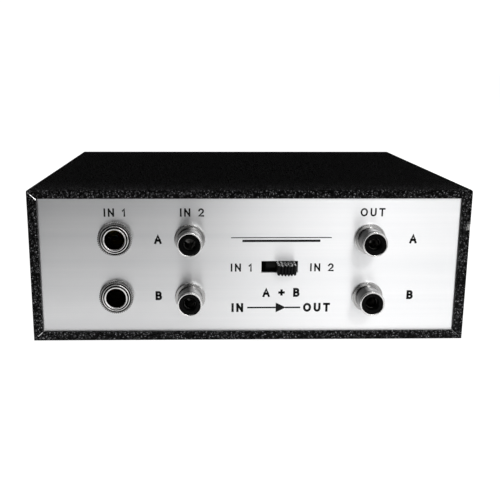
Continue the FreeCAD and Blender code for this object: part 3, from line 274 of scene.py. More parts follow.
def settled_dust(tree: NodeTree, amount: Socket) -> dict[str, Socket]:
    """Dust that lies on faces turned upwards, broken up by noise; the knob uses the same mask for a
    painted highlight on its top.

    Args:
        tree: the group's tree.
        amount: how thick the dust lies; on the knob, how strong the painted highlight is.

    Returns:
        The mask of the dust, which on the knob is a painted highlight.
    """
    upward = tree.part("Z", tree.add("NewGeometry").outputs["Normal"])
    lying = tree.spread(upward, 0.5, 1.0)
    specks = tree.spread(tree.noise(0.5, 4.0), 0.52, 0.75)
    drift = tree.spread(tree.noise(18.0), 0.35, 0.7, 0.2)
    return {"Mask": tree.times(specks, drift, lying, amount)}


def handling_marks(tree: NodeTree, amount: Socket) -> dict[str, Socket]:
    """Smudges and hairline scratches from years of plugging and wiping.

    Args:
        tree: the group's tree.
        amount: how strong they are.

    Returns:
        The masks of the smudges and of the scratches.
    """
    smudge = tree.spread(tree.noise(9.0, 3.0, Distortion=0.6), 0.45, 0.72)
    hair = tree.noise(1.4, 1.0, Distortion=2.5)
    line = tree.sum("ABSOLUTE", tree.less(hair, 0.5))
    few = tree.spread(tree.noise(5.0, 1.0), 0.58, 0.62)
    scratch = tree.times(tree.spread(line, 0.0, 0.006, 1.0, 0.0), few)
    return {"Smudge": tree.times(smudge, amount), "Scratch": tree.times(scratch, amount)}


@dataclass(frozen=True)
class Effect:
    """A shader group that finishes share, built the first time it is asked for."""

    draw: Callable[[NodeTree, Socket], dict[str, Socket]]
    label: str
    usual: float

    def build(self) -> bpy.types.NodeTree:
        """Builds the group, with one named input and an output for each value that is drawn.

        Returns:
            The new group.
        """
        group = bpy.data.node_groups.new(self.draw.__name__, "ShaderNodeTree")
        sockets = group.interface
        setting = sockets.new_socket(self.label, in_out="INPUT", socket_type="NodeSocketFloat")
        setting.default_value = self.usual
        start = group.nodes.new("NodeGroupInput")
        results = self.draw(NodeTree(group), start.outputs[self.label])
        for label in results:
            sockets.new_socket(label, in_out="OUTPUT", socket_type="NodeSocketFloat")
        end = group.nodes.new("NodeGroupOutput")
        for label, result in results.items():
            group.links.new(result, end.inputs[label])
        return group

    def place(self, tree: NodeTree, setting: float) -> bpy.types.bpy_prop_collection:
        """Puts the group into a material.

        Args:
            tree: the material's tree.
            setting: the value of the group's input.

        Returns:
            The outputs of the group's node.
        """
        group = bpy.data.node_groups.get(self.draw.__name__) or self.build()
        node = tree.add("Group", node_tree=group)
        node.inputs[self.label].default_value = setting
        return node.outputs


LEATHER = Effect(leather_grain, "Cells", 1300.0)
BRUSHING = Effect(brushed_lines, "Lines", 9000.0)
GRAIN = Effect(fine_grain, "Grains", 4000.0)
DUST_AND_TOP_LIGHT = Effect(settled_dust, "Amount", 0.3)
MARKS = Effect(handling_marks, "Amount", 0.5)


@dataclass(frozen=True)
class Finish:
    """A surface finish that turns into one material."""

    name: str

    def material(self) -> bpy.types.Material:
        """Makes the finish's material the first time.

        Returns:
            The material.
        """
        known = bpy.data.materials.get(self.name)
        if known is not None:
            return known
        made = bpy.data.materials.new(self.name)
        made.use_nodes = True
        self.paint(NodeTree(made.node_tree), made.node_tree.nodes["Principled BSDF"])
        return made

    def paint(self, tree: NodeTree, shader: bpy.types.Node) -> None:
        """Joins the finish's nodes to the shader."""
        raise NotImplementedError

    @staticmethod
    def lay(
        tree: NodeTree,
        shader: bpy.types.Node,
        colour: Socket,
        roughness: Socket,
        height: Socket,
        relief: float,
        **constants: float,
    ) -> None:
        """Joins what a finish has drawn to the shader.

        Args:
            tree: the material's tree.
            shader: the material's shader.
            colour: what feeds its Base Color.
            roughness: what feeds its Roughness.
            height: what feeds the bump that its Normal takes.
            relief: how deep that bump is, in millimetres.
            constants: values for its other inputs.
        """
        bump = tree.add("Bump", Height=height, Distance=relief * MM, Strength=1.0)
        tree.feed(shader.inputs["Base Color"], colour)
        tree.feed(shader.inputs["Roughness"], roughness)
        tree.feed(shader.inputs["Normal"], bump.outputs[0])
        for name, value in constants.items():
            shader.inputs[name.replace("_", " ")].default_value = value


@dataclass(frozen=True)
class VinylSkin(Finish):
    """Black leatherette film on the folded case, rubbed through at one place on the edge."""

    colour: Colour = (0.0020, 0.0020, 0.0022)
    crease_colour: Colour = (0.0006, 0.0006, 0.0006)
    # Light colour of the specks on pebble tops: painted glints, not wear.
    worn_colour: Colour = (0.50, 0.50, 0.52)
    dust_colour: Colour = (0.10, 0.10, 0.095)
    steel: Colour = (0.55, 0.55, 0.54)
    pebble: float = 0.95
    relief: float = 0.7
    roughness: float = 0.17
    crease_roughness: float = 0.6
    shine: float = 0.08
    dust: float = 0.04
    smudges: float = 0.5
    smudge_dulls: float = 0.10
    rubbed_at: Place = (73.0, CASE_FRONT, 41.6)
    rubbed_size: float = 2.3
    rubbed_rim: Point = (1.1, 1.5)
    ragged: float = 1.6
    ragged_size: float = 0.7
    worn_deep: float = 26.0
    worn_fade: float = 2.2
    worn_elsewhere: float = 0.05
    side_spared: float = 0.75

    def paint(self, tree: NodeTree, shader: bpy.types.Node) -> None:
        """Grain, creases with painted shade, painted glints on pebble tops near the front edge, dust
        on top and the rubbed place.

        Args:
            tree: the material's tree.
            shader: the material's shader.
        """
        grain = LEATHER.place(tree, 1.0 / (self.pebble * MM))
        dust = DUST_AND_TOP_LIGHT.place(tree, self.dust)["Mask"]
        smudge = MARKS.place(tree, self.smudges)["Smudge"]
        # Painted glints: light specks on pebble tops, strongest near the front edge.
        overlay = tree.times(grain["Worn"], self.handled(tree))
        skin = tree.blend(overlay, self.colour, self.worn_colour)
        # Painted shade: the creases between pebbles are darkened.
        skin = tree.blend(grain["Crease"], skin, self.crease_colour)
        skin = tree.blend(dust, skin, self.dust_colour)
        skin = tree.blend(self.rubbed(tree), skin, self.steel)
        dull = tree.spread(grain["Crease"], 0.0, 1.0, self.roughness, self.crease_roughness)
        rough = tree.plus(dull, tree.times(smudge, self.smudge_dulls))
        shine = {"Specular_IOR_Level": self.shine}
        self.lay(tree, shader, skin, rough, grain["Height"], self.relief, **shine)

    def handled(self, tree: NodeTree) -> Socket:
        """Gives how strongly the painted glints show: most near the front edge, less on the sides.

        Args:
            tree: the material's tree.

        Returns:
            The share's socket.
        """
        depth = tree.part("Y", tree.place())
        start = CASE_FRONT * MM
        near_front = tree.spread(depth, start, start + self.worn_deep * MM, 1.0, 0.0)
        aside = tree.sum("ABSOLUTE", tree.part("X", tree.add("NewGeometry").outputs["Normal"]))
        on_front = tree.less(1.0, tree.times(aside, self.side_spared))
        glinting = tree.times(tree.sum("POWER", near_front, self.worn_fade), on_front)
        return tree.sum("MAXIMUM", glinting, self.worn_elsewhere)

    def rubbed(self, tree: NodeTree) -> Socket:
        """Gives the ragged mask of the place that is rubbed through.

        Args:
            tree: the material's tree.

        Returns:
            The mask's socket.
        """
        size = self.rubbed_size * MM
        spot = tuple(length * MM for length in self.rubbed_at)
        away = tree.vector("DISTANCE", tree.place(), spot)
        uneven = tree.times(tree.noise(self.ragged_size, 3.0), self.ragged * size)
        start, end = (share * size for share in self.rubbed_rim)
        return tree.spread(tree.plus(away, uneven), start, end, 1.0, 0.0)


@dataclass(frozen=True)
class BrushedMetal(Finish):
    """Aluminium brushed along X, so that its highlights run up and down."""

    colour: Colour = (0.84, 0.84, 0.845)
    dark: Colour = (0.77, 0.775, 0.785)
    lines: float = 9000.0
    roughness: float = 0.34
    spread: float = 0.015
    relief: float = 0.0007
    anisotropy: float = 0.9
    smudges: float = 0.12
    smudge_dulls: float = 0.06

    def paint(self, tree: NodeTree, shader: bpy.types.Node) -> None:
        """Lines in colour, gloss and relief, with smudges over them.

        Args:
            tree: the material's tree.
            shader: the material's shader.
        """
        lines = BRUSHING.place(tree, self.lines)
        smudge = MARKS.place(tree, self.smudges)["Smudge"]
        tone = tree.blend(lines["Tone"], self.dark, self.colour)
        overlay = tree.blend(smudge, tone, self.dark)
        dull, bright = self.roughness + self.spread, self.roughness - self.spread
        gloss = tree.spread(lines["Tone"], 0.0, 1.0, dull, bright)
        rough = tree.plus(gloss, tree.times(smudge, self.smudge_dulls))
        brushed = {"Metallic": 1.0, "Anisotropic": self.anisotropy}
        self.lay(tree, shader, overlay, rough, lines["Height"], self.relief, **brushed)
        upright = tree.add("Tangent", direction_type="RADIAL", axis="X")
        tree.feed(shader.inputs["Tangent"], upright.outputs[0])


@dataclass(frozen=True)
class PlatedMetal(Finish):
    """Nickel, zinc or bare metal with a fine unevenness, tarnish and scratches."""

    colour: Colour
    tarnish: Colour
    roughness: float = 0.16
    relief: float = 0.004
    grains: float = 5000.0
    marks: float = 0.6
    most_tarnish: float = 0.7
    smudge_dulls: float = 0.16
    patch_dulls: float = 0.06

    def paint(self, tree: NodeTree, shader: bpy.types.Node) -> None:
        """Tarnish in broad patches, grain in relief and smudges in gloss.

        Args:
            tree: the material's tree.
            shader: the material's shader.
        """
        grain = GRAIN.place(tree, self.grains)
        marks = MARKS.place(tree, self.marks)
        patches = tree.spread(grain["Tone"], 0.35, 1.0, 0.0, self.most_tarnish)
        tone = tree.blend(patches, self.colour, self.tarnish)
        tone = tree.blend(marks["Scratch"], tone, self.tarnish)
        smudge = tree.times(marks["Smudge"], self.smudge_dulls)
        patch = tree.times(grain["Tone"], self.patch_dulls)
        rough = tree.plus(smudge, patch, self.roughness)
        self.lay(tree, shader, tone, rough, grain["Height"], self.relief, Metallic=1.0)


@dataclass(frozen=True)
class PlugWornNickel(PlatedMetal):
    """Nickel with painted shade on the barrel: a darker copy of the plating between the bright lip
    and the bright flange.
    """

    barrel: Colour = (0.24, 0.238, 0.235)
    barrel_front: float = -60.7
    barrel_back: float = -54.1
    blend_long: float = 0.15

    def paint(self, tree: NodeTree, shader: bpy.types.Node) -> None:
        """The plating's own nodes, with the barrel's darker colour laid over part of its length as
        painted shade.

        Args:
            tree: the material's tree.
            shader: the material's shader.
        """
        super().paint(tree, shader)
        plating = shader.inputs["Base Color"].links[0].from_socket
        along = tree.part("Y", tree.place())
        front, back = self.barrel_front * MM, self.barrel_back * MM
        reach = self.blend_long * MM
        behind_lip = tree.spread(along, front - reach, front)
        before_flange = tree.spread(along, back, back + reach, 1.0, 0.0)
        overlay = tree.times(behind_lip, before_flange)
        # Painted shade: the darker colour covers the barrel between lip and flange.
        tree.feed(shader.inputs["Base Color"], tree.blend(overlay, plating, self.barrel))


@dataclass(frozen=True)
class Moulding(Finish):
    """Plastic, phenolic, paint or rubber: one colour with mottling, grain and dust; on the knob the
    up-facing mask is a painted highlight.
    """

    colour: Colour
    mottle: Colour
    roughness: float = 0.4
    relief: float = 0.01
    grains: float = 3000.0
    dust: float = 0.05
    shine: float = 0.5
    dust_colour: Colour = (0.35, 0.34, 0.32)
    marks: float = 0.5
    smudge_dulls: float = 0.14
    patch_dulls: float = 0.06

    def paint(self, tree: NodeTree, shader: bpy.types.Node) -> None:
        """Mottling in colour, grain in relief and gloss, dust on what faces up, which on the knob is
        a painted highlight.

        Args:
            tree: the material's tree.
            shader: the material's shader.
        """
        grain = GRAIN.place(tree, self.grains)
        smudge = tree.times(MARKS.place(tree, self.marks)["Smudge"], self.smudge_dulls)
        dust = DUST_AND_TOP_LIGHT.place(tree, self.dust)["Mask"]
        tone = tree.blend(grain["Tone"], self.colour, self.mottle)
        # Up-facing mask: dust here, and on the knob a painted highlight on its top.
        tone = tree.blend(dust, tone, self.dust_colour)
        patch = tree.times(grain["Tone"], self.patch_dulls)
        rough = tree.plus(smudge, patch, self.roughness)
        shine = {"Specular_IOR_Level": self.shine}
        self.lay(tree, shader, tone, rough, grain["Height"], self.relief, **shine)


@dataclass(frozen=True)
class LayeredStack(Finish):
    """Core iron or wound tape: thin layers seen edge on, one behind the other."""

    colour: Colour
    gap_colour: Colour
    pitch: float
    metallic: float
    roughness: float
    relief: float = 0.08
    grains: float = 2500.0
    smoother: float = 0.06
    rougher: float = 0.1

    def paint(self, tree: NodeTree, shader: bpy.types.Node) -> None:
        """Dark gaps between layers, slightly uneven, and a little grain.

        Args:
            tree: the material's tree.
            shader: the material's shader.
        """
        stretch = (1.0, 1.0 / (self.pitch * MM) + 1.0, 1.0)
        layer = tree.noise(METRE, 1.0, Vector=tree.place(stretch))
        gap = tree.spread(layer, 0.40, 0.52, 1.0, 0.0)
        grain = GRAIN.place(tree, self.grains)
        tone = tree.blend(gap, self.colour, self.gap_colour)
        low, high = self.roughness - self.smoother, self.roughness + self.rougher
        rough = tree.spread(grain["Tone"], 0.0, 1.0, low, high)
        iron = {"Metallic": self.metallic}
        self.lay(tree, shader, tone, rough, tree.less(1.0, gap), self.relief, **iron)


@dataclass(frozen=True)
class SleevedLeads(Finish):
    """Insulated leads whose colours change from one lead to the next."""

    colours: tuple[Colour, Colour, Colour]
    grime: Colour = (0.08, 0.07, 0.06)
    most_grime: float = 0.25
    pitch: float = 7.0
    roughness: Point = (0.36, 0.5)
    relief: float = 0.01
    grains: float = 2000.0

    def paint(self, tree: NodeTree, shader: bpy.types.Node) -> None:
        """Picks the sleeve's colour by a broad pattern over the wiring.

        Args:
            tree: the material's tree.
            shader: the material's shader.
        """
        cell = tree.add("TexVoronoi", Vector=tree.place(), Scale=1.0 / (self.pitch * MM))
        pick = tree.add("SeparateColor", cell.outputs["Color"]).outputs[0]
        first, second, third = self.colours
        tone = tree.blend(tree.spread(pick, 0.32, 0.34), first, second)
        tone = tree.blend(tree.spread(pick, 0.66, 0.68), tone, third)
        grain = GRAIN.place(tree, self.grains)
        dirt = tree.spread(grain["Tone"], 0.0, 1.0, 0.0, self.most_grime)
        tone = tree.blend(dirt, tone, self.grime)
        rough = tree.spread(grain["Tone"], 0.0, 1.0, *self.roughness)
        self.lay(tree, shader, tone, rough, grain["Height"], self.relief)


def grey(tone: float) -> Colour:
    """Gives a neutral colour."""
    return (tone, tone, tone)


VINYL = VinylSkin("black_vinyl")
ALUMINIUM = BrushedMetal("brushed_aluminium")
PLATING = ((0.70, 0.695, 0.69), (0.54, 0.53, 0.52), 0.15, 0.0006)
NICKEL = PlatedMetal("bright_nickel", *PLATING)
SHELL_NICKEL = PlugWornNickel("shell_nickel", *PLATING)
# On the bushing the near-black colour is painted shade in the groove behind the rim and in the bore.
BUSHING_NICKEL = PlugWornNickel(
    "bushing_nickel", *PLATING, barrel=(0.04, 0.039, 0.038), barrel_front=-54.8, barrel_back=0.0
)
# Painted shade: a darker copy of the nickel for the knurled ring nut's dark reflections.
SHADED_NICKEL = PlatedMetal("aged_nickel", (0.28, 0.278, 0.275), (0.10, 0.098, 0.095), 0.20, 0.001)
# Painted shade: a darkened tin for the centre contact, deep in the jack's bore.
SHADED_TIN = PlatedMetal("dull_tin", (0.10, 0.098, 0.095), (0.06, 0.058, 0.055), 0.10, 0.0006)
ZINC = PlatedMetal("zinc_plate", (0.58, 0.58, 0.60), (0.44, 0.42, 0.36), 0.30, 0.01, 2500.0)
BARE_STEEL = PlatedMetal("bare_steel", (0.68, 0.68, 0.69), grey(0.42), 0.28, 0.01)
TINNED_BRASS = PlatedMetal("tinned_brass", (0.70, 0.60, 0.38), (0.50, 0.42, 0.28), 0.26, 0.008)
BAKELITE = Moulding("black_bakelite", grey(0.001), grey(0.002), 0.16, 0.003, dust=0.0, shine=0.05)
# Painted highlight: the up-facing mask at full strength in near white lightens the knob's top.
KNOB_PLASTIC = Moulding(
    "knob_plastic",
    grey(0.003),
    (0.006, 0.006, 0.007),
    0.22,
    0.02,
    dust=14.0,
    shine=0.10,
    dust_colour=(0.90, 0.90, 0.91),
)
REAR_PAINT = Moulding("rear_paint", (0.018, 0.018, 0.019), (0.026, 0.026, 0.027), 0.42, 0.03, 1800.0)
PAPER_PHENOLIC = Moulding("paper_phenolic", (0.16, 0.075, 0.03), (0.22, 0.11, 0.05), 0.38, 0.02)
BOARD = Moulding("board_laminate", (0.24, 0.13, 0.05), (0.31, 0.18, 0.08), 0.36, 0.015, 1500.0)
RUBBER = Moulding("grey_rubber", grey(0.022), (0.035, 0.034, 0.033), 0.62, 0.05, 1400.0)
BLACK_EPOXY = Moulding("black_epoxy", grey(0.012), grey(0.02), 0.34, 0.02)
BLUE_SLEEVE = Moulding("blue_sleeve", (0.02, 0.07, 0.20), (0.03, 0.10, 0.26), 0.30, 0.008)
BROWN_DIP = Moulding("brown_dip", (0.17, 0.06, 0.022), (0.24, 0.09, 0.03), 0.24, 0.03)
TAN_BODY = Moulding("tan_body", (0.42, 0.27, 0.13), (0.50, 0.34, 0.18), 0.38, 0.01)
INK = Moulding("printed_ink", grey(0.003), grey(0.006), 0.5, 0.002, 6000.0, 0.0, 0.15)
WHITE_INK = Moulding("white_ink", (0.62, 0.62, 0.60), (0.50, 0.50, 0.48), 0.5, 0.004, 6000.0)
CORE_IRON = LayeredStack("core_iron", (0.30, 0.29, 0.28), (0.05, 0.035, 0.025), 0.5, 1.0, 0.42)
WINDING_TAPE = LayeredStack(
    "winding_tape", (0.55, 0.44, 0.22), (0.34, 0.25, 0.11), 3.4, 0.0, 0.34, 0.05
)
LEAD_SLEEVES = SleevedLeads("lead_sleeves", ((0.40, 0.02, 0.02), (0.60, 0.60, 0.57), grey(0.02)))


def as_piece(name: str, shape: Shape, sharp_from: float = 34.0) -> Piece:
    """Turns a finished BMesh into a piece of the scene, smooth except at its sharp edges.

    Args:
        name: what it is called.
        shape: the BMesh, which is used up.
        sharp_from: edges that turn by more degrees than this stay sharp.

    Returns:
        The new piece.
    """
    bmesh.ops.recalc_face_normals(shape, faces=shape.faces)
    mesh = bpy.data.meshes.new(name)
    shape.to_mesh(mesh)
    shape.free()
    mesh.shade_smooth()
    mesh.set_sharp_from_angle(angle=math.radians(sharp_from))
    piece = bpy.data.objects.new(name, mesh)
    bpy.context.scene.collection.objects.link(piece)
    return piece


def loft(shape: Shape, rings: Sequence[Sequence], closed: bool = False) -> None:
    """Joins rings of places by a skin, with a cap at both ends unless it is closed.

    Args:
        shape: what it is added to.
        rings: the places of each ring, in metres.
        closed: whether the last ring leads back to the first.
    """
    corners = [[shape.verts.new(place) for place in ring] for ring in rings]
    following = [*corners[1:], corners[0]] if closed else corners[1:]
    for ring, after in zip(corners, following):
        for index, corner in enumerate(ring):
            other = (index + 1) % len(ring)
            shape.faces.new((corner, ring[other], after[other], after[index]))
    if not closed:
        shape.faces.new(corners[0][::-1])
        shape.faces.new(corners[-1])


def add_block(shape: Shape, middle: Vector, size: Place) -> list[bmesh.types.BMVert]:
    """Adds a block, by its middle and size in millimetres, and returns its corners."""
    place = Matrix.Translation(middle * MM) @ Matrix.Diagonal((*(Vector(size) * MM), 1.0))
    return bmesh.ops.create_cube(shape, size=1.0, matrix=place)["verts"]


def curve(centre: Point, radii: Point, start: float, end: float, steps: int = 12) -> list[Point]:
    """Follows part of an ellipse.

    Args:
        centre: its middle.
        radii: its reach across and up.
        start: the angle that it starts at, in degrees.
        end: the angle that it ends at.
        steps: the straight pieces in it.

    Returns:
        The points along it.
    """
    points = []
    for step in range(steps + 1):
        turn = math.radians(start + (end - start) * step / steps)
        points.append(
            (centre[0] + radii[0] * math.cos(turn), centre[1] + radii[1] * math.sin(turn))
        )
    return points


def eased(profile: Sequence[Point], radius: float, steps: int = 3) -> list[Point]:
    """Rounds the corners of a closed outline.

    Args:
        profile: the outline's corners in order.
        radius: how far from a corner its round begins, where the sides leave room.
        steps: straight pieces in each round.

    Returns:
        The outline's points with each corner turned into a curve.
    """
    points = []
    for index, corner in enumerate(profile):
        here = Vector(corner)
        before = Vector(profile[index - 1]) - here
        after = Vector(profile[(index + 1) % len(profile)]) - here
        reach = min(radius, 0.45 * before.length, 0.45 * after.length)
        start = here + before.normalized() * reach
        end = here + after.normalized() * reach
        for step in range(steps + 1):
            share = step / steps
            spot = start.lerp(here, share).lerp(here.lerp(end, share), share)
            points.append((spot.x, spot.y))
    return points


@dataclass(frozen=True)
class Ridges:
    """Grooves round a turned piece, cut into whatever lies outside a radius."""

    count: int
    depth: float
    outside: float

    def shifted(self, radius: float, turn: float) -> float:
        """Gives the radius at an angle, with the groove taken off."""
        wave = 0.5 - 0.5 * math.cos(self.count * turn)
        return radius if radius <= self.outside else radius - self.depth * wave**1.5


@dataclass(frozen=True)
class Turning:
    """A closed outline turned about an axis. Points are radius and distance along, in mm."""

    profile: Sequence[Point]
    centre: Place
    axis: Axis = Axis.FRONT_TO_BACK
    ease: float = 0.12
    steps: int = 96
    ridges: Ridges | None = None

    def add_to(self, shape: Shape) -> None:
        """Adds the turned surface to a BMesh, in metres.

        Args:
            shape: what it is added to.
        """
        outline = eased(self.profile, self.ease)
        turns = [2.0 * math.pi * step / self.steps for step in range(self.steps)]
        loft(shape, [[self.point(spot, turn) for spot in outline] for turn in turns], closed=True)
        bmesh.ops.remove_doubles(shape, verts=shape.verts, dist=0.0005 * MM)

    def point(self, spot: Point, turn: float) -> Vector:
        """Turns a point of the outline to an angle.

        Args:
            spot: the point.
            turn: the angle, in radians.

        Returns:
            Its place in metres.
        """
        radius, along = spot
        if self.ridges is not None:
            radius = self.ridges.shifted(radius, turn)
        across, up = radius * math.cos(turn), radius * math.sin(turn)
        offset = (across, along, up) if self.axis is Axis.FRONT_TO_BACK else (across, up, along)
        return (Vector(self.centre) + Vector(offset)) * MM


def turned(name: str, *turnings: Turning) -> Piece:
    """Makes one piece from one or more turnings.

    Args:
        name: what it is called.
        turnings: what it is made of.

    Returns:
        The new piece.
    """
    shape = bmesh.new()
    for turning in turnings:
        turning.add_to(shape)
    return as_piece(name, shape)


def softened(
    node: str,
    width: float,
    sharper_than: float,
    picks: Callable[[bmesh.types.BMEdge], bool] = lambda edge: True,
    shaped: Callable[[Shape], None] = lambda shape: None,
) -> Piece:
    """Copies a CAD node, rounds its sharp edges and keeps its large faces flat.

    Args:
        node: the CAD node to copy.
        width: how far the rounds reach, in millimetres.
        sharper_than: edges that turn by more degrees than this are rounded.
        picks: tells which of those edges are rounded.
        shaped: what else is done to the copy once its edges are rounded.

    Returns:
        The new piece, named after the node.
    """
    shape = bmesh.new()
    shape.from_mesh(NODES[node].data)
    bmesh.ops.remove_doubles(shape, verts=shape.verts, dist=0.001 * MM)
    flat, limit = math.radians(0.5), math.radians(sharper_than)
    bmesh.ops.dissolve_limit(shape, angle_limit=flat, verts=shape.verts, edges=shape.edges)
    sharp = [
        edge
        for edge in shape.edges
        if len(edge.link_faces) == 2 and edge.calc_face_angle(0.0) > limit and picks(edge)
    ]
    rounds = {"offset": width * MM, "segments": 2, "profile": 0.5, "clamp_overlap": True}
    bmesh.ops.bevel(shape, geom=sharp, affect="EDGES", **rounds)
    shaped(shape)
    piece = as_piece(f"{node}_dressed", shape)
    piece.modifiers.new("flat_faces", "WEIGHTED_NORMAL").keep_sharp = True
    graph = bpy.context.evaluated_depsgraph_get()
    finished = bpy.data.meshes.new_from_object(piece.evaluated_get(graph))
    piece.modifiers.clear()
    piece.data = finished
    return piece


class SubAssembly:
    """Pieces that are built and dressed together, riding on the case unless told otherwise."""

    title = "sub-assembly"

    def build(self) -> None:
        """Makes the detailed pieces that stand for CAD nodes."""

    def dress(self) -> None:
        """Gives the CAD nodes that stay their finish."""

    @staticmethod
    def fit(piece: Piece, finish: Finish, slot: Slot, *nodes: str, body: str = "case") -> None:
        """Finishes a new piece and ties it to the frame.

        Args:
            piece: the new piece, in place.
            finish: what it is covered with.
            slot: the record's slot for that finish; not used.
            nodes: the CAD nodes that it stands for.
            body: the body that it moves with.
        """
        piece.data.materials.clear()
        piece.data.materials.append(finish.material())
        if nodes:
            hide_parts(*nodes)
        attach(piece, body)
        log.info("%s stands for %s", piece.name, ", ".join(nodes) or "a detail of its own")

    @staticmethod
    def cover(finish: Finish, *nodes: str) -> None:
        """Gives CAD nodes a finish in their material slots.

        Args:
            finish: the finish.
            nodes: the nodes' names.
        """
        for node in nodes:
            for material_slot in NODES[node].material_slots:
                material_slot.material = finish.material()
            log.info("%s keeps its CAD shape, in %s", node, finish.name)


@dataclass(frozen=True)
class Skin:
    """A flat side of the case: its axis, its level and which way it faces."""

    axis: int
    level: float
    facing: float

    def depth(self, place: Vector) -> float:
        """Gives how deep a place lies under the skin."""
        return self.facing * (self.level - place[self.axis])


@dataclass(frozen=True)
class Fold:
    """The line where two skins of the case meet, bent to a radius."""

    skins: tuple[Skin, Skin]
    radius: float
    quarter_steps: int = 3

    def pull_in(self, place: Vector) -> None:
        """Brings a place that lies outside the bend onto it.

        Args:
            place: the place in millimetres, which is changed.
        """
        spare = [self.radius - skin.depth(place) for skin in self.skins]
        reach = math.hypot(*spare)
        if min(spare) <= 0.0 or reach <= self.radius:
            return
        for skin, length in zip(self.skins, spare):
            depth = self.radius * (1.0 - length / reach)
            place[skin.axis] = skin.level - skin.facing * depth

    def cuts(self) -> list[tuple[Skin, float]]:
        """Lists the planes that divide the bend evenly, each as a skin and a depth under it."""
        turns = [math.pi / 4.0 * step / self.quarter_steps for step in range(self.quarter_steps)]
        return [(skin, self.radius * (1.0 - math.tan(turn))) for skin in self.skins for turn in turns]


FRONT_SKIN = Skin(1, CASE_FRONT, -1.0)
TOP_SKIN = Skin(2, 54.0, 1.0)
UNDERSIDE_SKIN = Skin(2, 2.5, -1.0)
LEFT_SKIN = Skin(0, -73.0, -1.0)
RIGHT_SKIN = Skin(0, 73.0, 1.0)


@dataclass(frozen=True)
class BareEdge:
    """A cut edge on the front of the case where the film stops short and steel shows."""

    name: str
    inner: Point
    outer: Point
    width: float


@dataclass
class CaseCovers(SubAssembly):
    """The folded top cover and the bottom plate, both in leatherette."""

    title = "case covers"
    top_bend: float = 1.5
    tight_bend: float = 0.3
    edge_round: float = 0.08
    bare_edges: tuple[BareEdge, ...] = (
        BareEdge("bare_mitre_edge", (-69.75, 51.05), (-72.45, 53.51), 0.17),
        BareEdge("bare_mitre_edge_low_l", (-69.85, 5.45), (-71.4, 4.00), 0.20),
        BareEdge("bare_mitre_edge_low_r", (70.4, 4.94), (72.2, 3.25), 0.06),
    )
    bare_proud: float = 0.10
    bare_inner: float = 0.02
    bare_sunk: float = 0.05
    bare_steps: int = 10

    def folds(self) -> list[Fold]:
        """Lists the case's bends: the long ones first, then the tight and the broad front ones.

        Returns:
            The bends, in the order in which they are made.
        """
        sides = (LEFT_SKIN, RIGHT_SKIN)
        pairs = [(side, level) for side in sides for level in (TOP_SKIN, UNDERSIDE_SKIN)]
        pairs += [(FRONT_SKIN, skin) for skin in (UNDERSIDE_SKIN, *sides)]
        tight = [Fold(pair, self.tight_bend) for pair in pairs]
        return [*tight, Fold((FRONT_SKIN, TOP_SKIN), self.top_bend, 4)]

    def rolled(self, place: Vector) -> Vector:
        """Moves a place in millimetres onto the bends that it lies outside of.

        Args:
            place: the place.

        Returns:
            The moved place.
        """
        moved = place.copy()
        for fold in self.folds():
            fold.pull_in(moved)
        return moved

    def roll(self, shape: Shape) -> None:
        """Divides the mesh along the bends and moves its corners onto them.

        Args:
            shape: the mesh.
        """
        bmesh.ops.triangulate(shape, faces=shape.faces)
        planes = {cut for fold in self.folds() for cut in fold.cuts()}
        for skin, depth in sorted(planes, key=lambda cut: (cut[0].axis, cut[0].level, cut[1])):
            normal = Vector((0.0, 0.0, 0.0))
            normal[skin.axis] = 1.0
            point = normal * (skin.level - skin.facing * depth) * MM
            parts = [*shape.verts, *shape.edges, *shape.faces]
            near = 0.002 * MM
            bmesh.ops.bisect_plane(shape, geom=parts, plane_co=point, plane_no=normal, dist=near)
        for corner in shape.verts:
            corner.co = self.rolled(corner.co / MM) * MM

    def off_folds(self, edge: bmesh.types.BMEdge) -> bool:
        """Tells whether an edge runs along none of the bends.

        Args:
            edge: the edge.

        Returns:
            Whether it keeps clear of them.
        """
        near = 0.01
        ends = [corner.co / MM for corner in edge.verts]
        return not any(
            all(abs(skin.depth(end)) < near for skin in fold.skins for end in ends)
            for fold in self.folds()
        )

    def build(self) -> None:
        """Rounds the cut edges, bends the folds and adds the bare edges at three mitres."""
        for node in ("top_cover", "bottom_cover"):
            piece = softened(node, self.edge_round, 40.0, self.off_folds, self.roll)
            self.fit(piece, VINYL, Slot.VINYL, node)
        for edge in self.bare_edges:
            self.fit(self.bared(edge), BARE_STEEL, Slot.PLATED)

    def bared(self, edge: BareEdge) -> Piece:
        """Makes the steel that shows at one mitre, on the side flange.

        Args:
            edge: where it runs and how wide it is.

        Returns:
            The new piece, a strip that stands out more on its outer side.
        """
        inner, outer = (Vector((x, FRONT_SKIN.level, z)) for x, z in (edge.inner, edge.outer))
        along = (outer - inner).normalized()
        beside = Vector((-along.z, 0.0, along.x))
        if beside.x * inner.x < 0.0:
            beside.negate()
        heights = (-self.bare_sunk, self.bare_inner, self.bare_proud, -self.bare_sunk)
        rings = []
        for step in range(self.bare_steps + 1):
            spot = inner.lerp(outer, step / self.bare_steps)
            near, far = (self.rolled(spot + beside * width) for width in (0.0, edge.width))
            corners = zip((near, near, far, far), heights)
            rings.append([(place + Vector((0.0, -up, 0.0))) * MM for place, up in corners])
        shape = bmesh.new()
        loft(shape, rings)
        return as_piece(edge.name, shape)


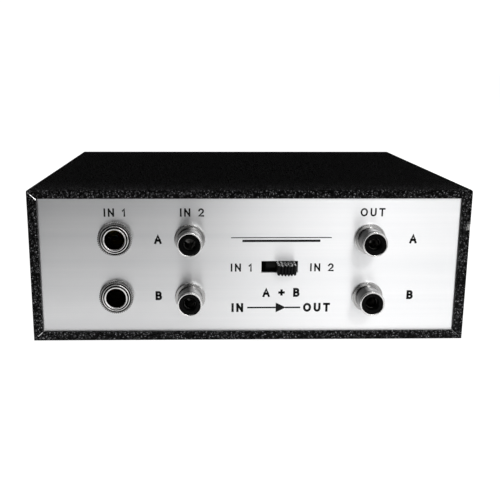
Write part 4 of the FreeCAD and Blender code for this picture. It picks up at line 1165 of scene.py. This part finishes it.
# Each letter's lines as shares of its height, and its width.
LETTERS: dict[str, tuple[list[list[Point]], float]] = {
    " ": ([], 0.15),
    "+": ([[(0.0, 0.5), (0.6, 0.5)], [(0.3, 0.2), (0.3, 0.8)]], 0.6),
    "1": ([[(0.0, 0.76), (0.22, 1.0), (0.22, 0.0)]], 0.3),
    "2": ([[*curve((0.3, 0.70), (0.3, 0.30), 165.0, -38.0), (0.0, 0.0), (0.62, 0.0)]], 0.62),
    "A": ([[(0.0, 0.0), (0.36, 1.0), (0.72, 0.0)], [(0.12, 0.33), (0.6, 0.33)]], 0.72),
    "B": (
        [
            [(0.0, 0.0), (0.0, 1.0), *curve((0.3, 0.76), (0.24, 0.24), 90.0, -90.0), (0.0, 0.52)],
            [(0.0, 0.52), *curve((0.32, 0.26), (0.27, 0.26), 90.0, -90.0), (0.0, 0.0)],
        ],
        0.6,
    ),
    "I": ([[(0.0, 0.0), (0.0, 1.0)]], 0.0),
    "N": (
        [[(0.0, 0.0), (0.0, 1.0)], [(0.03, 0.92), (0.63, 0.08)], [(0.66, 0.0), (0.66, 1.0)]],
        0.66,
    ),
    "O": ([curve((0.42, 0.5), (0.42, 0.5), 0.0, 330.0, 22)], 0.84),
    "T": ([[(0.0, 1.0), (0.66, 1.0)], [(0.33, 1.0), (0.33, 0.0)]], 0.66),
    "U": ([[(0.0, 1.0), *curve((0.33, 0.36), (0.33, 0.36), 180.0, 360.0), (0.66, 1.0)]], 0.66),
}


@dataclass(frozen=True)
class Stroke:
    """A printed line of one width. Its points are across and up, in millimetres."""

    points: Sequence[Point]
    width: float
    closed: bool = False
    longest_mitre: float = 1.5

    def sides(self) -> list[tuple[Vector, Vector]]:
        """Gives the corners on both sides of the line, mitred at turns and square at ends.

        Returns:
            The left and the right corner at each point.
        """
        spots = [Vector(point) for point in self.points]
        legs = [(after - spot).normalized() for spot, after in zip(spots, spots[1:])]
        if self.closed:
            closing = (spots[0] - spots[-1]).normalized()
            before, following = [closing, *legs], [*legs, closing]
        else:
            before, following = [legs[0], *legs], [*legs, legs[-1]]
            spots[0] = spots[0] - legs[0] * (self.width / 2.0)
            spots[-1] = spots[-1] + legs[-1] * (self.width / 2.0)
        pairs = []
        for spot, arriving, leaving in zip(spots, before, following):
            way = (arriving + leaving).normalized()
            stretch = min(self.longest_mitre, 1.0 / max(0.1, way.dot(leaving)))
            side = Vector((-way.y, way.x)) * (self.width / 2.0 * stretch)
            pairs.append((spot + side, spot - side))
        return pairs


def level_stroke(left: float, right: float, level: float, width: float) -> Stroke:
    """Gives a stroke that runs level from left to right."""
    return Stroke([(left, level), (right, level)], width)


@dataclass(frozen=True)
class Lettering:
    """How tall printed letters stand and how broad their strokes are."""

    height: float
    stroke: float


LIGHT = Lettering(2.8, 0.54)
HEAVY = Lettering(3.15, 0.78)


@dataclass(frozen=True)
class Mark:
    """A short generic word or number: its middle, and the level that it stands on."""

    text: str
    across: float
    base: float
    lettering: Lettering


@dataclass
class FrontPlate(SubAssembly):
    """The brushed panel with what is printed on it."""

    title = "front panel"
    ink_thickness: float = 0.02
    ink_sunk: float = 0.1
    letter_gap: float = 0.85
    upper_marks: tuple[Mark, ...] = (
        Mark("IN 1", -44.6, 45.15, LIGHT),
        Mark("IN 2", -19.25, 45.15, LIGHT),
        Mark("OUT", 40.5, 45.15, LIGHT),
        Mark("A", -30.6, 35.95, HEAVY),
        Mark("B", -30.6, 16.45, HEAVY),
        Mark("A", 54.4, 35.95, HEAVY),
        Mark("B", 54.4, 16.45, HEAVY),
        Mark("IN 1", -2.8, 26.35, LIGHT),
        Mark("IN 2", 24.2, 26.35, LIGHT),
    )
    lower_marks: tuple[Mark, ...] = (
        Mark("A + B", 10.65, 17.4, HEAVY),
        Mark("IN", -4.1, 12.1, HEAVY),
        Mark("OUT", 22.8, 12.1, HEAVY),
    )
    rule_left: float = -6.2
    rule_right: float = 27.0
    rule_level: float = 38.0
    rule_height: float = 0.3
    rule_gap: float = 1.1
    rule_inset: float = 4.0
    sign_centre: Point = (10.65, 13.675)
    sign_left: float = -0.5
    sign_right: float = 17.0
    sign_half: float = 1.7325

    def build(self) -> None:
        """Softens the plate's cut edges and prints its marks in rows from above."""
        self.fit(softened("front_panel", 0.06, 40.0), ALUMINIUM, Slot.PANEL, "front_panel")
        for mark in self.upper_marks:
            self.print_mark(mark)
        self.print_rule()
        for mark in self.lower_marks:
            self.print_mark(mark)
        self.print_sign()

    def print_mark(self, mark: Mark) -> None:
        """Prints one word or number on the panel.

        Args:
            mark: what is printed, and where.
        """
        width = mark.lettering.stroke
        reach = mark.lettering.height - width
        lengths = [LETTERS[letter][1] * reach + width for letter in mark.text]
        left = mark.across - (sum(lengths) + self.letter_gap * (len(mark.text) - 1)) / 2.0
        bottom = mark.base + width / 2.0
        strokes = []
        for letter, length in zip(mark.text, lengths):
            for line in LETTERS[letter][0]:
                points = [(left + width / 2.0 + x * reach, bottom + z * reach) for x, z in line]
                strokes.append(Stroke(points, width, closed=letter == "O"))
            left += length + self.letter_gap
        self.print_strokes("printed_mark", strokes)

    def print_rule(self) -> None:
        """Prints the plain double rule above the switch."""
        left, right, inset = self.rule_left, self.rule_right, self.rule_inset
        low = self.rule_level - self.rule_gap
        upper = level_stroke(left, right, self.rule_level, self.rule_height)
        lower = level_stroke(left + inset, right - inset, low, HEAVY.stroke)
        self.print_strokes("printed_rule", [upper, lower])

    def print_sign(self) -> None:
        """Prints the usual sign of an amplifier between two lines."""
        (centre, level), half = self.sign_centre, self.sign_half
        lines = [
            level_stroke(self.sign_left, centre - half, level, LIGHT.stroke),
            level_stroke(centre + half, self.sign_right, level, LIGHT.stroke),
        ]
        wedge = [(centre - half, level - half), (centre + half, level), (centre - half, level + half)]
        self.print_strokes("printed_diagram", lines, wedge)

    def print_strokes(
        self, name: str, strokes: Sequence[Stroke], outline: Sequence[Point] = ()
    ) -> None:
        """Lays strokes and a filled outline on the panel as thin ink.

        Args:
            name: what the piece is called, before its number.
            strokes: the lines in it.
            outline: the filled shape in it, if it has one.
        """
        near = (PANEL_FACE - (1.0 - self.ink_sunk) * self.ink_thickness) * MM
        far = (PANEL_FACE + self.ink_sunk * self.ink_thickness) * MM
        shape = bmesh.new()
        for stroke in strokes:
            rings = []
            for left, right in stroke.sides():
                corners = ((left, near), (right, near), (right, far), (left, far))
                rings.append([(at.x * MM, depth, at.y * MM) for at, depth in corners])
            loft(shape, rings, stroke.closed)
        if outline:
            loft(shape, [[(x * MM, depth, z * MM) for x, z in outline] for depth in (near, far)])
        count = sum(other.name.startswith(name) for other in bpy.data.objects)
        self.fit(as_piece(f"{name}_{count + 1}", shape), INK, Slot.BLACK)


@dataclass
class MicrophoneJack(SubAssembly):
    """One quarter inch jack: rounded bushing and knurled ring nut."""

    side: str
    centre: Place
    title = "microphone jack"
    bore: float = 3.24
    thread: float = 4.72
    reach: float = 2.5
    rim: float = 3.85
    rim_long: float = 2.2
    collar: float = 4.3
    collar_front: float = 2.15
    mouth_bevel: float = 0.25
    thread_bevel: float = 0.2
    shoulder: float = 6.42
    wall_back: float = 2.0
    shoulder_back: float = 3.5
    barrel: float = 4.30
    barrel_back: float = 5.3
    nut_radius: float = 5.75
    nut_thick: float = 1.9
    nut_bevel: float = 0.45
    nut_bore: float = 4.80
    nut_mouth: float = 5.07
    nut_dish: float = 0.5
    knurl: Ridges = Ridges(52, 0.34, 5.3)

    def build(self) -> None:
        """Turns the bushing and the ring nut."""
        tip, rim_back, neck = -self.reach, -self.reach + self.rim_long, -self.collar_front
        bushing = [
            (self.bore, tip + self.mouth_bevel),
            (self.bore + self.mouth_bevel, tip),
            (self.rim, tip),
            (self.rim, rim_back),
            (self.collar, rim_back),
            (self.collar, neck),
            (self.thread - self.thread_bevel, neck),
            (self.thread, neck + self.thread_bevel),
            (self.thread, self.wall_back),
            (self.shoulder, self.wall_back),
            (self.shoulder, self.shoulder_back),
            (self.barrel, self.shoulder_back),
            (self.barrel, self.barrel_back),
            (self.bore, self.barrel_back),
        ]
        front = -self.nut_thick
        nut = [
            (self.nut_bore, front + self.nut_dish),
            (self.nut_mouth, front),
            (self.nut_radius - self.nut_bevel, front),
            (self.nut_radius, front + self.nut_bevel),
            (self.nut_radius, 0.0),
            (self.nut_bore, 0.0),
        ]
        ring = Turning(nut, self.centre, ease=0.12, steps=416, ridges=self.knurl)
        for kind, turning, finish in (
            # The bushing's finish paints shade into the groove behind its rim and into its bore.
            ("bushing", Turning(bushing, self.centre, ease=0.14), BUSHING_NICKEL),
            # The nut's darker nickel is painted shade on its knurl.
            ("nut", ring, SHADED_NICKEL),
        ):
            node = f"mic_jack_{self.side}_{kind}"
            self.fit(turned(f"{node}_dressed", turning), finish, Slot.NICKEL, node)

    def dress(self) -> None:
        """Finishes the frame and the tip spring behind the panel."""
        self.cover(ZINC, f"mic_jack_{self.side}_frame")
        self.cover(TINNED_BRASS, f"mic_jack_{self.side}_tip_spring")


@dataclass
class PinJack(SubAssembly):
    """One pin jack: shell with a rolled lip, insulator and centre contact."""

    name: str
    centre: Place
    title = "pin jack"
    reach: float = 8.7
    barrel: float = 4.1
    bore: float = 3.48
    flange: float = 5.15
    flange_thick: float = 1.2
    flange_bevel: float = 0.2
    lip_long: float = 0.85
    groove_depth: float = 0.14
    groove_long: float = 0.45
    groove_run_in: float = 0.12
    groove_run_out: float = 0.3
    thread: float = 4.0
    tail: float = 7.2
    insulator_front: float = -8.35
    insulator_dish: float = 0.5
    insulator_rim: float = 0.45
    insulator_tail: float = 1.2
    contact_radius: float = 1.9
    contact_bore: float = 1.78
    contact_front: float = -6.6
    contact_step: float = 2.2
    contact_floor: float = 1.2
    contact_tail: float = 4.7
    tail_radius: float = 0.8
    fit_gap: float = 0.05

    def build(self) -> None:
        """Turns the shell, the insulator and the contact."""
        half = (self.barrel - self.bore) / 2.0
        lip, waist = -self.reach + self.lip_long, self.barrel - self.groove_depth
        shell = [
            *curve((self.bore + half, -self.reach + half), (half, half), -180.0, 0.0, 8),
            (self.barrel, lip),
            (waist, lip + self.groove_run_in),
            (waist, lip + self.groove_long),
            (self.barrel, lip + self.groove_long + self.groove_run_out),
            (self.barrel, -self.flange_thick),
            (self.flange - self.flange_bevel, -self.flange_thick),
            (self.flange, -self.flange_thick + self.flange_bevel),
            (self.flange, 0.0),
            (self.thread, 0.0),
            (self.thread, self.tail),
            (self.bore, self.tail),
        ]
        hole, tail_hole = self.contact_radius + self.fit_gap, self.tail_radius + self.fit_gap
        outside, end = self.bore - self.fit_gap, self.tail + self.insulator_tail
        insulator = [
            (hole, self.insulator_front + self.insulator_dish),
            (self.contact_radius + self.insulator_rim, self.insulator_front),
            (outside, self.insulator_front),
            (outside, end),
            (tail_hole, end),
            (tail_hole, self.contact_step + self.fit_gap),
            (hole, self.contact_step + self.fit_gap),
        ]
        contact = [
            (self.contact_bore, self.contact_front),
            (self.contact_radius, self.contact_front),
            (self.contact_radius, self.contact_step),
            (self.tail_radius, self.contact_step),
            (self.tail_radius, self.tail + self.contact_tail),
            (0.0, self.tail + self.contact_tail),
            (0.0, self.contact_floor),
            (self.contact_bore, self.contact_floor),
        ]
        for kind, profile, finish, slot in (
            # The shell's finish paints shade on the barrel between lip and flange.
            ("shell", shell, SHELL_NICKEL, Slot.NICKEL),
            ("insulator", insulator, BAKELITE, Slot.INSULATOR),
            # The contact's darkened tin is painted shade deep in the bore.
            ("contact", contact, SHADED_TIN, Slot.NICKEL),
        ):
            node = f"{self.name}_{kind}"
            piece = turned(f"{node}_dressed", Turning(profile, self.centre, ease=0.08))
            self.fit(piece, finish, slot, node)


@dataclass
class InputSwitch(SubAssembly):
    """The slide switch: a knob ribbed over its crown, and the housing behind."""

    title = "input switch"
    centre: Place = (11.97, PANEL_FACE, 27.95)
    wide: float = 6.3
    tall: float = 3.6
    reach: float = 5.6
    crown: float = 1.1
    crown_power: float = 2.2
    back: float = 2.9
    ribs: int = 6
    rib_deep: float = 0.4
    corner: float = 0.45
    end_round: float = 0.3
    slider: Place = (13.0, 2.4, 7.6)
    slider_round: float = 0.15
    samples_per_rib: int = 12

    def build(self) -> None:
        """Lofts the ribbed knob and adds the plate that slides behind the panel."""
        shape = bmesh.new()
        count = self.ribs * self.samples_per_rib
        loft(shape, [self.section(step / count) for step in range(count + 1)])
        middle = Vector(self.centre) + Vector((0.0, self.back + self.slider[1] / 2.0, 0.0))
        corners = add_block(shape, middle, self.slider)
        edges = list({edge for corner in corners for edge in corner.link_edges})
        rounds = {"offset": self.slider_round * MM, "segments": 2, "profile": 0.5}
        bmesh.ops.bevel(shape, geom=edges, affect="EDGES", **rounds)
        piece = as_piece("slide_switch_knob_dressed", shape, 50.0)
        self.fit(piece, KNOB_PLASTIC, Slot.SWITCH, "slide_switch_knob", body="switch_slider")

    def section(self, share: float) -> list[Vector]:
        """Gives the knob's outline across its width.

        Args:
            share: how far across it is, from 0 to 1.

        Returns:
            The outline's places, in metres.
        """
        end = min(share, 1.0 - share) * self.wide
        wave = 0.5 - 0.5 * math.cos(2.0 * math.pi * share * self.ribs)
        groove = self.rib_deep * (1.0 - wave) ** 2 if self.end_round < end else 0.0
        rounded = max(0.0, self.end_round - end)
        pull = self.end_round - math.sqrt(max(0.0, self.end_round**2 - rounded**2))
        bow = self.crown * (2.0 * abs(share - 0.5)) ** self.crown_power
        front = -(self.reach - bow - groove - pull)
        half = self.tall / 2.0 - groove - pull
        turn, corner = front + self.corner, (self.corner, self.corner)
        outline = [
            (self.back, -half),
            (self.back, half),
            *curve((turn, half - self.corner), corner, 90.0, 180.0, 6),
            *curve((turn, self.corner - half), corner, 180.0, 270.0, 6),
        ]
        middle = Vector(self.centre)
        across = (share - 0.5) * self.wide
        return [(middle + Vector((across, along, up))) * MM for along, up in outline]

    def dress(self) -> None:
        """Finishes the housing, contacts and terminals."""
        self.cover(ZINC, "slide_switch_frame", "slide_switch_rivets")
        self.cover(BAKELITE, "slide_switch_base")
        self.cover(TINNED_BRASS, "slide_switch_contacts", "slide_switch_terminals")


@dataclass
class RearWall(SubAssembly):
    """The painted rear panel, the open cord grommet and the ground screw with its sign."""

    title = "rear wall"
    grommet_centre: Place = (-47.0, 59.15, 17.5)
    grommet_bore: float = 3.2
    grommet_hole: float = 5.5
    grommet_flange: float = 7.0
    grommet_lip: float = 1.6
    grommet_bevel: float = 0.5
    sheet: float = 1.0
    sign_at: Place = (40.0, 59.15, 24.4)
    sign_thickness: float = 0.02
    sign_stroke: float = 0.4
    stem_level: float = 3.1
    stem_tall: float = 2.2
    bar_level: float = 2.0
    bar_step: float = 0.8
    bar_wide: float = 3.6
    bar_shrink: float = 1.2

    def build(self) -> None:
        """Softens the wall and screws, turns the grommet and prints the ground sign."""
        self.fit(softened("rear_panel", 0.12, 40.0), REAR_PAINT, Slot.REAR, "rear_panel")
        for node in ("ground_screw", "ground_washer", "rear_panel_screws"):
            self.fit(softened(node, 0.07, 34.0), ZINC, Slot.PLATED, node)
        lip, flange, sheet = self.grommet_lip, self.grommet_flange, -self.sheet
        grommet = [
            (self.grommet_bore, sheet - lip),
            (flange - self.grommet_bevel, sheet - lip),
            (flange, sheet - lip / 2.0),
            (flange, sheet),
            (self.grommet_hole, sheet),
            (self.grommet_hole, 0.0),
            (flange, 0.0),
            (flange, lip / 2.0),
            (flange - self.grommet_bevel, lip),
            (self.grommet_bore, lip),
        ]
        piece = turned("cord_grommet_dressed", Turning(grommet, self.grommet_centre, ease=0.45))
        self.fit(piece, RUBBER, Slot.RUBBER, "cord_grommet")
        self.fit(self.ground_sign(), WHITE_INK, Slot.REAR)

    def ground_sign(self) -> Piece:
        """Makes the usual earth sign, a stem over three bars that grow shorter.

        Returns:
            The new piece.
        """
        shape = bmesh.new()
        bars = [(self.stem_level, self.sign_stroke, self.stem_tall)]
        for row in range(3):
            wide = self.bar_wide - self.bar_shrink * row
            bars.append((self.bar_level - self.bar_step * row, wide, self.sign_stroke))
        for up, wide, tall in bars:
            middle = Vector(self.sign_at) + Vector((0.0, 0.0, up))
            add_block(shape, middle, (wide, self.sign_thickness, tall))
        return as_piece("ground_sign", shape)


@dataclass
class Feet(SubAssembly):
    """Four rubber feet with the screws that go up through them."""

    title = "feet"
    places: tuple[Point, ...] = ((-59.0, -36.85), (59.0, -36.85), (-59.0, 44.15), (59.0, 44.15))
    height: float = 2.5
    radius: float = 5.5
    taper: float = 0.6
    recess: float = 3.3
    hole: float = 1.53
    shelf: float = 1.8

    def build(self) -> None:
        """Turns the feet and softens their screws."""
        foot = [
            (self.recess, 0.0),
            (self.radius - self.taper, 0.0),
            (self.radius, self.height),
            (self.hole, self.height),
            (self.hole, self.shelf),
            (self.recess, self.shelf),
        ]
        turnings = [
            Turning(foot, (across, back, 0.0), Axis.UPRIGHT, ease=0.35, steps=64)
            for across, back in self.places
        ]
        self.fit(turned("rubber_feet_dressed", *turnings), RUBBER, Slot.RUBBER, "rubber_feet")
        self.fit(softened("foot_screws", 0.07, 34.0), ZINC, Slot.PLATED, "foot_screws")


@dataclass
class Inside(SubAssembly):
    """What the case holds: chassis, board with its parts, transformer and wiring."""

    title = "inside"

    def dress(self) -> None:
        """Finishes every node that stays in its CAD shape."""
        self.cover(ZINC, "chassis", "board_screws", "board_standoffs", "mic_jack_rivets")
        self.cover(ZINC, "transformer_clamp", "transformer_screws")
        self.cover(NICKEL, "pin_jack_nuts")
        self.cover(TINNED_BRASS, "pin_jack_lugs", "mic_jack_lugs", "mains_tags")
        self.cover(PAPER_PHENOLIC, "mic_jack_stacks", "mains_tag_strip")
        self.cover(BOARD, "circuit_board")
        self.cover(BLACK_EPOXY, "transistors", "rectifier_diodes")
        self.cover(BLUE_SLEEVE, "electrolytic_capacitors", "filter_capacitor")
        self.cover(BROWN_DIP, "film_capacitors")
        self.cover(TAN_BODY, "resistors")
        self.cover(CORE_IRON, "transformer_core")
        self.cover(WINDING_TAPE, "transformer_winding")
        self.cover(LEAD_SLEEVES, "signal_leads", "transformer_leads")


@dataclass(frozen=True)
class SoftLight:
    """A rectangular soft light: its middle, width and height, and its power in watts."""

    name: str
    place: Place
    wide: float
    tall: float
    power: float

    def hang(self, aim: Place) -> None:
        """Hangs the light so that it faces a point.

        Args:
            aim: the point.
        """
        light = bpy.data.lights.new(self.name, "AREA")
        light.shape = "RECTANGLE"
        light.size = self.wide * MM
        light.size_y = self.tall * MM
        light.energy = self.power
        lamp = bpy.data.objects.new(self.name, light)
        facing = (Vector(aim) - Vector(self.place)).to_track_quat("-Z", "Y").to_matrix().to_4x4()
        lamp.matrix_world = Matrix.Translation(Vector(self.place) * MM) @ facing
        bpy.context.scene.collection.objects.link(lamp)


@dataclass
class Studio:
    """Pale floor, soft lights and the camera where the photographer stood."""

    camera_place: Place = (-14.666, -283.031, 92.099)
    camera_down: float = 0.2187
    camera_right: float = 0.0222
    camera_roll: float = 0.0029
    lens: float = 51.379
    sensor: float = 36.0
    shift: Point = (0.0571, -0.0417)
    floor_half: float = 30000.0
    floor_colour: Colour = grey(0.45)
    floor_roughness: float = 0.9
    floor_shine: float = 0.1
    floor_glow: float = 0.875
    floor_seen: float = 1.02
    glow_front: Point = (-225.0, -155.0)
    glow_left: Point = (-130.0, -85.0)
    surround_dim: float = 0.008
    surround_seen: float = 1.1
    white: Colour = grey(1.0)
    lit_at: Place = (0.0, -60.0, 25.0)
    lights: tuple[SoftLight, ...] = (
        SoftLight("key_light", (508.0, -748.0, 330.0), 1250.0, 700.0, 4.9),
        SoftLight("front_lamp", (230.0, -720.0, 520.0), 110.0, 110.0, 0.7),
        SoftLight("top_light", (0.0, -100.0, 1300.0), 1400.0, 1000.0, 3.0),
        SoftLight("left_rear_light", (-1000.0, 500.0, 500.0), 500.0, 500.0, 1.5),
        SoftLight("right_rear_light", (1000.0, 450.0, 350.0), 500.0, 500.0, 1.0),
    )

    def build(self) -> None:
        """Makes camera, floor, the white surround and lights."""
        bpy.context.scene.view_settings.view_transform = "Standard"
        self.make_camera()
        self.make_floor()
        self.make_surround()
        for light in self.lights:
            light.hang(self.lit_at)

    def make_camera(self) -> None:
        """Sets the camera by where it stands and how it is turned."""
        down, right, roll = self.camera_down, self.camera_right, self.camera_roll
        level = math.cos(down)
        ahead = Vector((math.sin(right) * level, math.cos(right) * level, -math.sin(down)))
        side = Vector((math.cos(right), -math.sin(right), 0.0))
        upward = side.cross(ahead)
        across = side * math.cos(roll) + upward * math.sin(roll)
        above = upward * math.cos(roll) - side * math.sin(roll)
        turned_to = Matrix((across, above, -ahead)).transposed().to_4x4()
        lens = bpy.data.cameras.new("photograph_camera")
        lens.lens = self.lens
        lens.sensor_width = self.sensor
        lens.shift_x, lens.shift_y = self.shift
        lens.clip_start = 0.01
        camera = bpy.data.objects.new("photograph_camera", lens)
        camera.matrix_world = Matrix.Translation(Vector(self.camera_place) * MM) @ turned_to
        bpy.context.scene.collection.objects.link(camera)
        bpy.context.scene.camera = camera

    def make_floor(self) -> None:
        """Lays the pale floor under the feet, plain from above and see-through from below."""
        shape = bmesh.new()
        bmesh.ops.create_grid(shape, x_segments=1, y_segments=1, size=self.floor_half * MM)
        floor = as_piece("floor", shape)
        paint = bpy.data.materials.new("floor_paper")
        paint.use_nodes = True
        tree = NodeTree(paint.node_tree)
        seen = tree.add("LightPath").outputs["Is Camera Ray"]
        spot = tree.add("SeparateXYZ", tree.place())
        glow = self.floor_glow
        for letter, (dark, bright) in (("X", self.glow_left), ("Y", self.glow_front)):
            glow = tree.times(tree.spread(spot.outputs[letter], dark * MM, bright * MM), glow)
        share = tree.times(tree.less(1.0, seen), glow)
        below = tree.add("NewGeometry").outputs["Backfacing"]
        shader = paint.node_tree.nodes["Principled BSDF"]
        for name, setting in (
            ("Base Color", self.floor_colour),
            ("Roughness", self.floor_roughness),
            ("Specular IOR Level", self.floor_shine),
            ("Emission Color", self.white),
            ("Emission Strength", tree.plus(share, tree.times(seen, self.floor_seen))),
            ("Alpha", tree.less(1.0, below)),
        ):
            tree.feed(shader.inputs[name], setting)
        floor.data.materials.append(paint)

    def make_surround(self) -> None:
        """White where the camera looks past the floor, dim for everything else."""
        world = bpy.data.worlds.new("studio")
        world.use_nodes = True
        bpy.context.scene.world = world
        tree = NodeTree(world.node_tree)
        backdrop = world.node_tree.nodes["Background"]
        seen = tree.add("LightPath").outputs["Is Camera Ray"]
        strength = tree.spread(seen, 0.0, 1.0, self.surround_dim, self.surround_seen)
        tree.feed(backdrop.inputs["Strength"], strength)
        tree.feed(backdrop.inputs["Color"], self.white)


def main() -> None:
    """Builds the studio and every sub-assembly, in order."""
    logging.basicConfig(level=logging.INFO, format="%(name)s: %(message)s")
    Studio().build()
    pin_jacks = [
        PinJack(f"{use}_jack_{side}", (across, PANEL_FACE, up))
        for use, across in (("phono", -20.0), ("output", 39.8))
        for side, up in (("l", 37.6), ("r", 17.6))
    ]
    assemblies: list[SubAssembly] = [
        CaseCovers(),
        FrontPlate(),
        MicrophoneJack("l", (-44.7, PANEL_FACE, 37.8)),
        MicrophoneJack("r", (-44.7, PANEL_FACE, 17.9)),
        *pin_jacks,
        InputSwitch(),
        RearWall(),
        Feet(),
        Inside(),
    ]
    for assembly in assemblies:
        log.info("building the %s", assembly.title)
        assembly.build()
        assembly.dress()


if __name__ == "__main__":
    main()
